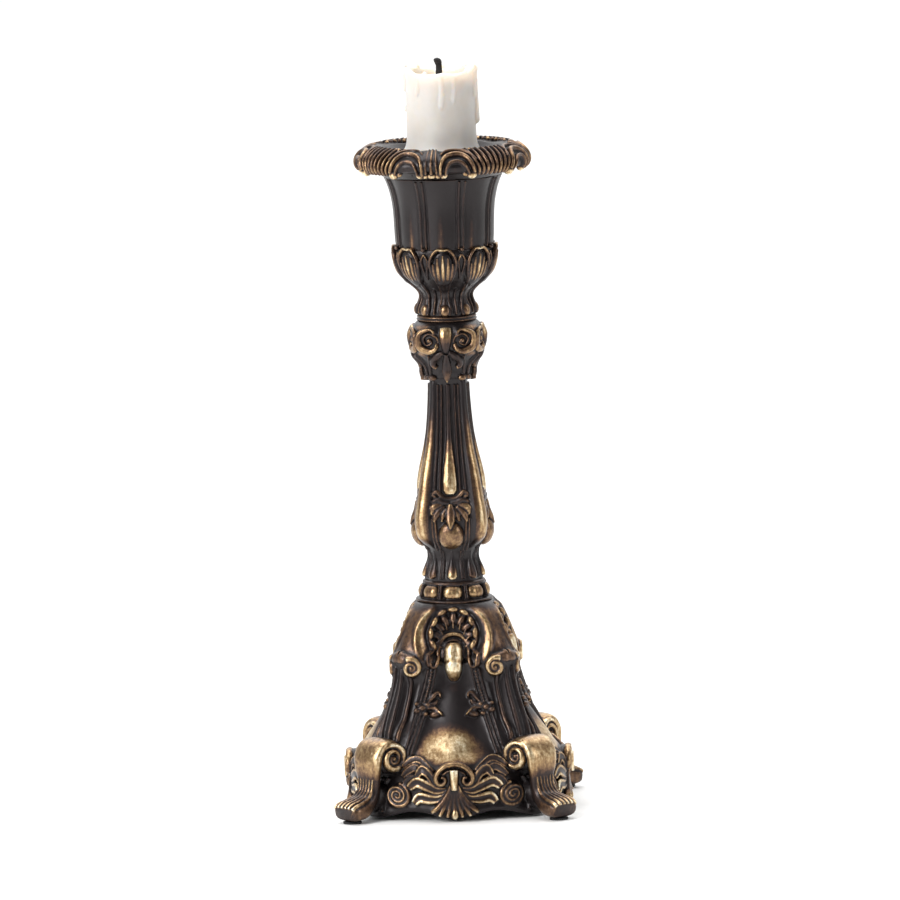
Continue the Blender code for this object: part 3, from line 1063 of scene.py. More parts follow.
    def palmette(self, relief: Relief) -> None:
        """Half of the palmette in the middle of the skirt: cap, stem, fan and side leaves.

        Args:
            relief: what the shapes are added to.
        """
        board = FlatGround(np.array([0, -57.4 * MM, 0]), np.array([1.0, 0, 0]), np.array([0, -1.0, 0]))
        relief.bead(board, (0, 24.5 * MM), (9, 8, 3), 0.08, lift=-0.8)
        cap = curve([
            (0, 31.6), (4, 30.9), (7.8, 28.4), (9.9, 24.8), (9.2, 21.6), (6.8, 20.6), (5.0, 22.2),
            (5.4, 24.3), (7.0, 24.4)])
        relief.moulding(board, cap, (1.5, 1.45, 1.2, 0.8), 2.0, (0.7, 0.7, 0.65, 0.4), lift=2.2)
        inner = curve([(0, 28.4), (3.4, 27.8), (6.0, 26.0)])
        relief.moulding(board, inner, (0.9, 0.5), 1.4, 0.35, lift=1.8)
        relief.moulding(board, np.array([(0, 28.6), (0, 24), (0, 17.6)]) * MM, (2.6, 2.4, 1.9), 2.6,
                        0.95, lift=2.8)
        fan = ((0, 1.2, 1.9), (4.2, 1.0, 1.7), (8.6, 1.6, 1.9), (12.8, 3.8, 2.0))
        for across, foot, size in fan:
            rib = curve([
                (across * 0.16, 20.5), (across * 0.30, 15.5), (across * 0.58, 9.5), (across, foot + 1.6)])
            relief.moulding(board, rib, (0.6, 1.2, size, 0.9), (1.2, 1.8, 2.4),
                            (0.9, 0.5, 0.42, 0.75), lift=(2.4, 1.2, 1.2, 2.0))
        relief.bead(board, (0, 4.2 * MM), (2.1, 2.8, 2.4), 0.95, lift=2.2)
        relief.bead(board, (0, 9 * MM), (11, 8.5, 3), 0.08, lift=-1.0)
        leaves = (
            ([(6, 20.2), (10.4, 21.6), (13.2, 26.0), (17.0, 27.6), (19.4, 24.6)], 2.4, 0.6),
            ([(4, 18.0), (9, 17.2), (14, 19.4), (19.6, 21.4), (24.0, 18.0)], 3.2, 0.8),
            ([(3.2, 15.6), (8.5, 12.4), (13.6, 12.2), (18.4, 12.8), (21.6, 9.6)], 3.2, 0.9))
        for points, fat, gilding in leaves:
            self.leaf(relief, self.ground, points, fat, gilding, lift=1.8)

    def sprays(self, relief: Relief) -> None:
        """The wavy acanthus spray from the palmette to the foot, and the coiled roundel under it.

        Args:
            relief: what the shapes are added to.
        """
        leaves = (
            ([(11, 27.4), (15, 30.0), (19, 32.4), (23, 31.6), (27.0, 28.6)], 2.1, 0.65),
            ([(13, 25.6), (17, 27.6), (21, 28.6), (24.6, 26.6), (27.4, 23.6)], 2.0, 0.55),
            ([(18, 25.6), (21, 24.4), (23.8, 22.8), (25.8, 20.4), (26.6, 17.6)], 1.7, 0.4))
        for points, fat, gilding in leaves:
            self.leaf(relief, self.ground, points, fat, gilding)
        centre = (30.6 * MM, 13.2 * MM)
        relief.bead(self.ground, centre, (7.4, 7.4, 2.4), 0.1)
        coil = spiral(centre, 6.8 * MM, 0.8 * MM, 2.7, math.radians(100))
        relief.moulding(self.ground, coil, (1.1, 0.85), 1.4, (0.55, 0.6, 0.5), lift=(1.2, 2.0))
        for across in (39.5, 42.0):
            upright = np.array([(across, 4.5), (across - 0.6, 13), (across + 0.4, 22)]) * MM
            relief.moulding(self.ground, smooth_line(upright), 0.9, 1.2, 0.18, lift=0.3)

    def build(self, foundry: Foundry) -> None:
        """Builds the base.

        Args:
            foundry: what casts the piece.
        """
        face = Relief()
        for part in (self.arch, self.shell, self.corner_volute, self.strap, self.corner_ribs, self.palmette,
                     self.sprays):
            part(face)
        face.mirror(MIRROR_X)
        self.boss(face)
        foot = Relief()
        self.foot(foot)
        foot.mirror(MIRROR_DIAGONAL)
        face.take(foot)
        whole = face.around(FACES)
        self.body(whole)
        foundry.cast(whole, "base_cast", ["base_casting"], Body.HOLDER, self.voxel)


# ---- The stem ----


@dataclass
class StemCasting:
    """A casting of the stem: a skin about a bored body, with ornament laid on it."""

    node: str
    name: str
    outline: tuple  # height, half-width over the faces, squareness (2 is round); in mm but for the last
    voxel: float = 0.40 * MM
    bore: float = 3.4 * MM

    def __post_init__(self) -> None:
        """Works the outline out at close steps."""
        self.levels = smooth_line(self.outline, 8) * [MM, MM, 1]
        self.ground = RoundGround(self.radius)
        self.polar_ground = RoundGround(self.radius, polar=True)

    def half_width(self, height: np.ndarray) -> np.ndarray:
        """Half the casting's width over its faces."""
        return np.interp(height, self.levels[:, 0], self.levels[:, 1])

    def radius(self, angle: np.ndarray, height: np.ndarray) -> np.ndarray:
        """The skin's radius at an angle and a height.

        Args:
            angle: from the front face, in radians.
            height: above the table, in metres.

        Returns:
            The skin's distance from the axis at each, in metres.
        """
        power = np.interp(height, self.levels[:, 0], self.levels[:, 2])
        round_sum = np.abs(np.cos(angle)) ** power + np.abs(np.sin(angle)) ** power
        return self.half_width(height) * round_sum ** (-1 / power)

    def skin_gilding(self, angle: np.ndarray, height: np.ndarray) -> np.ndarray:
        """How much gold shows on the skin between its ornaments."""
        return np.full_like(angle, 0.12)

    def bore_rings(self) -> list[tuple[float, float]]:
        """The bore's radius and height at each of its rings, from the top down.

        Returns:
            Radius and height of each ring, in metres.
        """
        return [(self.bore, self.levels[-1, 0]), (self.bore, self.levels[0, 0])]

    def body(self, relief: Relief) -> None:
        """The bored body.

        Args:
            relief: what the shapes are added to.
        """
        angles = math.tau * np.arange(144) / 144
        rings = [self.polar_ground.at(angles, np.full_like(angles, z)) for z in self.levels[:, 0]]
        gilt = [self.skin_gilding(angles, np.full_like(angles, z)) for z in self.levels[:, 0]]
        for r, z in self.bore_rings():
            rings.append(np.stack([r * np.sin(angles), -r * np.cos(angles), np.full_like(angles, z)], -1))
            gilt.append(np.zeros_like(angles))
        relief.loft(np.array(rings), np.array(gilt), torus=True)

    def ornament(self, relief: Relief) -> None:
        """Half of what is laid on one face."""

    def middle(self, relief: Relief) -> None:
        """What is laid on the middle of one face."""

    def build(self, foundry: Foundry) -> None:
        """Builds the casting.

        Args:
            foundry: what casts the piece.
        """
        face = Relief()
        self.ornament(face)
        face.mirror(MIRROR_X)
        self.middle(face)
        whole = face.around(FACES)
        self.body(whole)
        foundry.cast(whole, self.name, [self.node], Body.HOLDER, self.voxel)


@dataclass
class BeadCollar(StemCasting):
    """The ring of cushion beads between the base and the baluster."""

    node: str = "bead_collar"
    name: str = "bead_collar_cast"
    voxel: float = 0.35 * MM
    outline: tuple = (
        (113.2, 20.2, 2), (114.0, 21.0, 2), (114.8, 20.8, 2), (115.4, 19.0, 2), (116.2, 17.6, 2),
        (119, 16.6, 2), (121.8, 15.8, 2), (122.5, 16.6, 2), (123.4, 17.2, 2), (124.2, 16.9, 2),
        (124.9, 16.0, 2))

    def skin_gilding(self, angle: np.ndarray, height: np.ndarray) -> np.ndarray:
        """A trace of gold on the two rings."""
        return 0.10 + 0.25 * soft_step(-height, -115 * MM, -114 * MM) + 0.2 * soft_step(height, 122 * MM,
                                                                                        123 * MM)

    def ornament(self, relief: Relief) -> None:
        """One and a half beads, and the bars between them.

        Args:
            relief: what the shapes are added to.
        """
        self.cushion(relief, DIAGONAL, 0.75)
        for off in (-0.030, 0.030):
            bar = np.array([(DIAGONAL / 2 + off, 115.6 * MM), (DIAGONAL / 2 + off, 122.4 * MM)])
            relief.moulding(self.polar_ground, bar, 0.55, 1.9, 0.22)

    def cushion(self, relief: Relief, angle: float, gilding: float) -> None:
        """A square-shouldered bead."""
        for off in (-0.10, 0.0, 0.10):
            relief.bead(self.polar_ground, (angle + off, 118.9 * MM), (3.7, 4.0, 2.9), gilding)

    def middle(self, relief: Relief) -> None:
        """The bead on the middle of a face."""
        self.cushion(relief, 0.0, 0.9)


@dataclass
class Baluster(StemCasting):
    """The tall baluster: four smooth lobes at the corners, and a ribbed panel with a leaf on each face."""

    node: str = "baluster"
    name: str = "baluster_cast"
    outline: tuple = (
        (124.7, 15.4, 2), (127, 15.1, 2), (131, 14.2, 2), (137, 12.7, 2), (142, 14.2, 2.2), (146, 17.4, 2.7),
        (150, 19.8, 3.2), (157, 20.8, 3.4), (164, 20.2, 3.4), (171, 19.0, 3.3), (184, 17.0, 3.1),
        (197, 14.4, 2.9), (208, 12.9, 2.7), (218, 12.0, 2.5), (228, 11.4, 2.5), (235.7, 11.4, 2.4))
    panel: float = 0.56  # the sunk panel's share of the half-width

    def radius(self, angle: np.ndarray, height: np.ndarray) -> np.ndarray:
        """The skin's radius, with a sunk panel on each face and a groove beside each lobe.

        Args:
            angle: from the front face, in radians.
            height: above the table, in metres.

        Returns:
            The skin's distance from the axis at each, in metres.
        """
        half = self.half_width(height)
        r = super().radius(angle, height)
        across = r * np.sin(from_face(angle)) / half
        sunk = soft_step(-across, -self.panel - 0.08, -self.panel + 0.02)
        groove = np.exp(-((across - self.panel - 0.01) / 0.05) ** 2)
        tall = soft_step(height, 141 * MM, 147 * MM) * soft_step(-height, -236 * MM, -232 * MM)
        flute = 0.6 * MM * np.cos(8 * angle) * soft_step(-height, -143 * MM, -137 * MM)
        lobe = 0.075 * np.exp(-((from_face(angle) - DIAGONAL) / 0.20) ** 2)
        return r + half * (lobe - 0.115 * sunk - 0.03 * groove) * tall + flute

    def skin_gilding(self, angle: np.ndarray, height: np.ndarray) -> np.ndarray:
        """Gold on the corner lobes, strongest on their inner side and fading towards the top.

        Args:
            angle: from the front face, in radians.
            height: above the table, in metres.

        Returns:
            How much gold shows at each, 0 to 1.
        """
        half = self.half_width(height)
        across = self.radius(angle, height) * np.sin(from_face(angle)) / half
        lobe = soft_step(across, self.panel + 0.04, self.panel + 0.12)
        crest = np.exp(-((across - self.panel - 0.24) / 0.075) ** 2)
        tall = soft_step(height, 142 * MM, 151 * MM) * soft_step(-height, -226 * MM, -192 * MM)
        return 0.07 + (0.50 * lobe + 0.45 * crest) * tall

    def ornament(self, relief: Relief) -> None:
        """Half of the ribs and leaves of one face.

        Args:
            relief: what the shapes are added to.
        """
        heights = np.linspace(232 * MM, 172 * MM, 30)
        for share, size in ((0.30, 0.7), (0.45, 0.75)):
            line = np.stack([share * self.half_width(heights), heights], axis=1)
            relief.moulding(self.ground, line, (0.6, size), 1.1, 0.22, lift=0.2)
        lower = np.linspace(160 * MM, 142 * MM, 10)
        for share in (0.40, 0.51):
            line = np.stack([share * self.half_width(lower), lower], axis=1)
            relief.moulding(self.ground, line, (0.5, 0.9, 0.7), 1.2, (0.45, 0.4, 0.15), lift=0.3)
        leaves = (
            ([(0, 170.4), (3.4, 170.8), (5.8, 172.8), (7.4, 174.4), (8.8, 172.8), (7.6, 171.2)],
             (1.2, 1.3, 0.9), 0.4),
            ([(0, 168.2), (3.8, 168.8), (7.0, 170.0), (10.2, 168.2)], (1.4, 1.6, 0.8), 0.3),
            ([(4.0, 167.8), (7.4, 166.8), (10.2, 165.0), (12.2, 161.8)], (1.2, 2.2, 2.0, 0.5), 0.7),
            ([(3.4, 166.4), (6, 164.0), (8.0, 161.2), (8.8, 158.2)], (1.0, 1.9, 1.8, 0.5), 0.5),
            ([(2.0, 165.4), (3.8, 162.0), (4.8, 158.4)], (1.0, 1.6, 0.5), 0.6))
        for points, widths, gilding in leaves:
            relief.moulding(self.ground, curve(points), widths,
                            (0.9, 1.5, 1.1), gilding, lift=(0.5, 0.7, 0.8))
        self.bulb(relief, DIAGONAL, 0.45)
        for off in (-0.05, 0.05):
            line = np.array([(DIAGONAL / 2 + off, 126.2 * MM), (DIAGONAL / 2 + off, 142 * MM)])
            relief.moulding(self.polar_ground, smooth_line(line), (0.7, 0.55), 1.1, 0.2)

    def bulb(self, relief: Relief, angle: float, gilding: float) -> None:
        """A flute's teardrop bulb.

        Args:
            relief: what the shapes are added to.
            angle: where the bulb sits round the stem, in radians.
            gilding: how much gold shows.
        """
        line = smooth_line([(angle, 141 * MM), (angle, 136 * MM), (angle, 131 * MM), (angle, 127.6 * MM),
                                     (angle, 126.2 * MM)])
        relief.moulding(self.polar_ground, line, (0.5, 1.2, 2.5, 2.7, 1.2),
                        (0.6, 1.0, 1.8, 1.6), (0.05, 0.15, gilding, gilding))

    def middle(self, relief: Relief) -> None:
        """The long teardrop, the pointed leaf, the boss and the flute's bulb.

        Args:
            relief: what the shapes are added to.
        """
        drop = np.array([(0, 232), (0, 215), (0, 205), (0, 196), (0, 187), (0, 180), (0, 175),
                         (0, 172.8)]) * MM
        relief.moulding(self.ground, smooth_line(drop), [1.2, 1.3, 1.5, 2.2, 3.4, 4.1, 3.9, 2.2],
                        [1.1, 1.2, 1.3, 1.8, 2.3, 2.6, 2.4, 1.6],
                        (0.15, 0.2, 0.25, 0.75, 1.0, 1.0, 0.95, 0.9), lift=0.3)
        leaf = np.array([(0, 167.4), (0, 162.6), (0, 158.6), (0, 154.6)]) * MM
        relief.moulding(self.ground, smooth_line(leaf), (1.4, 2.8, 2.5, 0.4), 1.7, 0.6,
                        lift=(0.8, 1.2, 2.4, 3.4))
        relief.bead(self.ground, (0, 150.4 * MM), (7.2, 8.0, 5.6), 0.72, lift=-0.6)
        self.bulb(relief, 0.0, 0.85)


@dataclass
class ScrollKnop(StemCasting):
    """The knop: a pair of volutes on each face over a drop of leaves, and gold lobes at the corners."""

    node: str = "scroll_knop"
    name: str = "scroll_knop_cast"
    voxel: float = 0.35 * MM
    outline: tuple = (
        (235.5, 11.6, 2.3), (238, 12.6, 2.4), (241, 13.0, 2.5), (245, 14.8, 2.6), (249, 17.8, 2.7),
        (253, 19.6, 2.8), (258, 20.2, 2.9), (262, 19.4, 2.7), (264.8, 17.6, 2.4), (266.4, 15.8, 2.1))
    eye: tuple = (8.9 * MM, 257.0 * MM)

    def radius(self, angle: np.ndarray, height: np.ndarray) -> np.ndarray:
        """The skin's radius, with a disc sunk for each volute and a hollow between the two of a face.

        Args:
            angle: from the front face, in radians.
            height: above the table, in metres.

        Returns:
            The skin's distance from the axis at each, in metres.
        """
        r = super().radius(angle, height)
        off = from_face(angle)
        eye_distance = np.hypot(r * np.sin(off) - self.eye[0], height - self.eye[1])
        disc = soft_step(-eye_distance, -5.4 * MM, -4.2 * MM)
        between = soft_step(-off, -0.34, -0.20) * soft_step(height, 247 * MM, 252 * MM)
        return r - 1.7 * MM * disc - 0.9 * MM * between * soft_step(-height, -266 * MM, -263 * MM)

    def skin_gilding(self, angle: np.ndarray, height: np.ndarray) -> np.ndarray:
        """Gold on the corners beside the volutes.

        Args:
            angle: from the front face, in radians.
            height: above the table, in metres.

        Returns:
            How much gold shows at each, 0 to 1.
        """
        corner = soft_step(from_face(angle), 0.46, 0.56)
        tall = soft_step(height, 246 * MM, 250 * MM) * soft_step(-height, -266 * MM, -263.5 * MM)
        return 0.08 + 0.72 * corner * tall

    def ornament(self, relief: Relief) -> None:
        """One volute, one side leaf and half of a corner's hooked tip.

        Args:
            relief: what the shapes are added to.
        """
        turns = np.radians(np.array([165, 100, 40, 0, -40, -95, -150, -205, -270, -340, -420, -500, -580]))
        reach = np.array([5.0, 5.7, 6.3, 6.5, 6.4, 5.9, 5.2, 4.0, 3.3, 3.0, 2.5, 1.8, 0.9]) * MM
        scroll = smooth_line(np.stack([self.eye[0] + reach * np.cos(turns),
                                       self.eye[1] + reach * np.sin(turns)], 1), 5)
        relief.moulding(self.ground, scroll, [0.5, 0.8, 1.6, 2.3, 2.1, 1.3, 0.8, 0.65, 0.6, 0.55, 0.5, 0.45],
                        [1.0, 1.4, 1.7, 1.8, 1.7, 1.5, 1.3, 1.2, 1.1, 1.0, 1.0],
                        (0.45, 0.60, 0.68, 0.72, 0.62, 0.40, 0.32, 0.36, 0.34, 0.30),
                        lift=[0.2, 0.2, 0.1, 0, 0.1, 0.3, 0.6, 0.5, 0.5, 0.4])
        relief.bead(self.ground, self.eye, (1.3, 1.3, 1.4), 0.4, lift=0.4)
        leaf = curve([(1.6, 250.6), (4.0, 249.4), (6.6, 247.0), (6.8, 244.0), (5.0, 242.4)])
        relief.moulding(self.ground, leaf, (1.2, 2.1, 1.9, 1.0), 1.9, (0.15, 0.22, 0.40),
                        lift=(0.4, 0.8, 1.2))
        edge = curve([(9.4, 249.0), (9.2, 245), (8.6, 240), (8.6, 236.6)])
        relief.moulding(self.ground, edge, (0.8, 0.9, 0.8), 1.2, 0.20, lift=0.3)
        relief.bead(self.polar_ground, (DIAGONAL - 0.14, 236.6 * MM), (2.6, 1.7, 2.2), 0.35,
                    turn=0.3, lift=0.8)

    def middle(self, relief: Relief) -> None:
        """The shield between the volutes and the pointed leaf under it.

        Args:
            relief: what the shapes are added to.
        """
        shield = curve([(0, 263.6), (0, 260.6), (0, 256), (0, 251.2)])
        relief.moulding(self.ground, shield, (3.0, 3.6, 3.1, 1.6), (1.4, 2.4, 1.9),
                        (0.85, 0.85, 0.30, 0.10), lift=0.4)
        leaf = curve([(0, 249.6), (0, 244.6), (0, 239.6), (0, 233.6)])
        relief.moulding(self.ground, leaf, (1.2, 2.4, 2.8, 0.5), 1.7, (0.15, 0.2, 0.35, 0.5),
                        lift=(0.6, 1.0, 1.4, 2.0))


@dataclass
class KnopRing(StemCasting):
    """The thin double ring over the knop."""

    node: str = "knop_ring"
    name: str = "knop_ring_cast"
    voxel: float = 0.30 * MM
    bore: float = 13.0 * MM
    outline: tuple = (
        (266.3, 15.4, 2), (266.9, 16.3, 2), (267.5, 16.4, 2), (268.0, 15.6, 2), (268.5, 16.2, 2),
        (269.1, 16.1, 2), (269.8, 15.0, 2))

    def skin_gilding(self, angle: np.ndarray, height: np.ndarray) -> np.ndarray:
        """A little gold on the ring's edges."""
        return np.full_like(angle, 0.35)


# ---- The calyx and the cup ----


@dataclass
class PetalCalyx(StemCasting):
    """The calyx: eight ribbed petals on stems that end in bulbs."""

    node: str = "petal_calyx"
    name: str = "petal_calyx_cast"
    outline: tuple = (
        (269.7, 15.0, 2), (271.5, 15.2, 2), (274, 14.6, 2), (279, 12.9, 2), (283, 13.8, 2), (287, 17.6, 2),
        (290.5, 21.0, 2), (294, 23.6, 2), (298, 25.2, 2), (302, 26.0, 2), (305, 26.2, 2), (306.9, 25.8, 2))
    petals: int = PETALS

    def bore_rings(self) -> list[tuple[float, float]]:
        """The cup's well, and the rod's hole under it."""
        return [(21.5 * MM, 306.9 * MM), (21.5 * MM, 300 * MM), (8 * MM, 290 * MM), (self.bore, 287 * MM),
                (self.bore, 269.7 * MM)]

    def petal(self, relief: Relief) -> None:
        """Half of a petal's edge and ribs, and of its stem's edge.

        Args:
            relief: what the shapes are added to.
        """
        outline = smooth_line(np.array([
            (0.07, 285), (0.16, 289.5), (0.235, 294.5), (0.265, 299.5), (0.225, 303.8), (0.12, 306.4),
            (0, 307.2)]) * [1, MM])
        relief.moulding(self.polar_ground, outline, (0.6, 0.9, 0.8), (1.2, 1.6, 1.5),
                        (0.15, 0.22, 0.35, 0.85), lift=(0.6, 1.4, 1.8))
        for off, top, size, gilding in ((0.105, 303.0, 1.35, 0.70), (0.195, 300.0, 1.05, 0.50)):
            rib = smooth_line(np.array([(off * 0.5, 287.5), (off * 0.85, 292), (off, 297),
                                        (off, top)]) * [1, MM])
            relief.moulding(self.polar_ground, rib, (0.4, size, size, 0.5), 1.5,
                            (0.15, gilding, gilding, 0.3), lift=(0.4, 1.3, 1.2))
        edge = smooth_line(np.array([(0.15, 270.4), (0.19, 273.5), (0.13, 278), (0.12, 283),
                                     (0.15, 288)]) * [1, MM])
        relief.moulding(self.polar_ground, edge, 0.7, 1.3, (0.2, 0.32, 0.3), lift=0.6)

    def stem(self, relief: Relief) -> None:
        """The middle rib of a petal, its belly, its stem and its bulb, and the dart beside it.

        Args:
            relief: what the shapes are added to.
        """
        relief.bead(self.polar_ground, (0, 296.0 * MM), (6.6, 10.5, 2.8), 0.12, lift=-0.9)
        rib = np.array([(0, 287), (0, 292), (0, 298), (0, 304.2)]) * MM
        relief.moulding(self.polar_ground, smooth_line(rib), (0.5, 1.2, 1.2, 0.5), 1.6,
                        (0.2, 0.65, 0.8, 0.4), lift=(0.6, 1.5, 1.4))
        stem = curve([(0, 290), (0, 284), (0, 279), (0, 275)])
        relief.moulding(self.polar_ground, stem, (3.4, 2.0, 1.5, 2.3), 1.8, (0.06, 0.25, 0.3), lift=0.2)
        relief.bead(self.polar_ground, (0, 272.9 * MM), (2.9, 3.5, 2.4), 0.6, lift=0.3)
        dart = self.petal_gap()
        for hand in (-1, 1):
            leaf = smooth_line(np.array([(dart, 291), (dart + hand * 0.05, 297), (dart + hand * 0.07, 301.4),
                                         (dart, 304.6)]) * [1, MM])
            relief.moulding(self.polar_ground, leaf, (0.4, 0.8, 0.5), 1.1, (0.1, 0.35, 0.45), lift=0.4)
        relief.bead(self.polar_ground, (dart, 306.7 * MM), (1.3, 1.2, 1.6), 0.25, lift=1.6)
        relief.moulding(self.polar_ground, smooth_line(np.array([(dart, 285), (dart, 277), (dart, 270.8)])
                                                       * [1, MM]), 0.75, 1.4, (0.1, 0.35, 0.3))

    def petal_gap(self) -> float:
        """The angle from a petal's middle to the gap beside it."""
        return math.pi / self.petals

    def build(self, foundry: Foundry) -> None:
        """Builds the calyx.

        Args:
            foundry: what casts the piece.
        """
        petal = Relief()
        self.petal(petal)
        petal.mirror(MIRROR_X)
        self.stem(petal)
        whole = petal.around(self.petals)
        self.body(whole)
        foundry.cast(whole, self.name, [self.node], Body.HOLDER, self.voxel)


@dataclass
class Cup(StemCasting):
    """The dark cup: eight broad panels with a double rib between each two."""

    node: str = "cup_shell"
    name: str = "cup_cast"
    outline: tuple = (
        (306.7, 26.0, 2), (311, 26.4, 2), (318, 26.7, 2), (325, 27.0, 2), (331, 27.6, 2), (337, 28.8, 2),
        (341.5, 30.2, 2), (345.4, 31.9, 2))
    panels: int = PETALS

    def radius(self, angle: np.ndarray, height: np.ndarray) -> np.ndarray:
        """Each panel is a little flatter than the round, with a sunk edge beside its ribs.

        Args:
            angle: from the front face, in radians.
            height: above the table, in metres.

        Returns:
            The skin's distance from the axis at each, in metres.
        """
        off = np.abs((angle + math.pi / self.panels) % (math.tau / self.panels) - math.pi / self.panels)
        edge = math.pi / self.panels - off
        sunk = np.exp(-((edge - 0.075) / 0.03) ** 2)
        return super().radius(angle, height) - 0.5 * MM * sunk + 0.45 * MM * np.cos(self.panels * angle)

    def skin_gilding(self, angle: np.ndarray, height: np.ndarray) -> np.ndarray:
        """A faint brown, a little stronger towards the lip and low on the panels.

        Args:
            angle: from the front face, in radians.
            height: above the table, in metres.

        Returns:
            How much gold shows at each, 0 to 1.
        """
        low = soft_step(-height, -334 * MM, -310 * MM)
        streak = np.maximum(np.cos(3 * self.panels * angle + 1.1) * np.cos(5 * angle + 0.4), 0)
        return 0.05 + 0.60 * low * streak + 0.10 * soft_step(height, 338 * MM, 345 * MM)

    def bore_rings(self) -> list[tuple[float, float]]:
        """The cup's inside and the rod's hole in its floor."""
        inside = ((29.4, 345.4), (26.4, 338), (24.4, 328), (23.6, 312), (22.6, 310.2), (3.4, 310.2),
                  (3.4, 306.7))
        return [(r * MM, z * MM) for r, z in inside]

    def build(self, foundry: Foundry) -> None:
        """Builds the cup.

        Args:
            foundry: what casts the piece.
        """
        gap = Relief()
        between = math.pi / self.panels
        for off in (-0.042, 0.042):
            rib = np.array([(between + off, 307.5), (between + off, 325),
                            (between + off * 1.2, 344.6)]) * [1, MM]
            gap.moulding(self.polar_ground, smooth_line(rib, 10), 0.85, 1.2, (0.28, 0.16, 0.20))
        whole = gap.around(self.panels)
        self.body(whole)
        foundry.cast(whole, self.name, [self.node], Body.HOLDER, self.voxel)


# ---- The drip pan ----


@dataclass(frozen=True)
class RimGround:
    """A turned rim, laid on by angle and by share of the way round its section."""

    section: np.ndarray  # radius and height along the section

    def at(self, angle: np.ndarray, share: np.ndarray) -> np.ndarray:
        """The rim's points.

        Args:
            angle: angles from the front face, in radians.
            share: how far across the roll, 0 to 1.

        Returns:
            The skin's points there.
        """
        steps = np.linspace(0, 1, len(self.section))
        r, z = (np.interp(share, steps, self.section[:, i]) for i in (0, 1))
        return np.stack([r * np.sin(angle), -r * np.cos(angle), z], axis=-1)

    def lay(self, path: np.ndarray) -> tuple[np.ndarray, np.ndarray]:
        """Lays a path of points by angle and share on the rim.

        Args:
            path: points across and up.

        Returns:
            The points' places and the way outwards at each.
        """
        angle, share = path[:, 0], path[:, 1]
        round_about = self.at(angle + 0.004, share) - self.at(angle - 0.004, share)
        down = self.at(angle, np.minimum(share + 0.02, 1)) - self.at(angle, np.maximum(share - 0.02, 0))
        return self.at(angle, share), unit(np.cross(down, round_about))


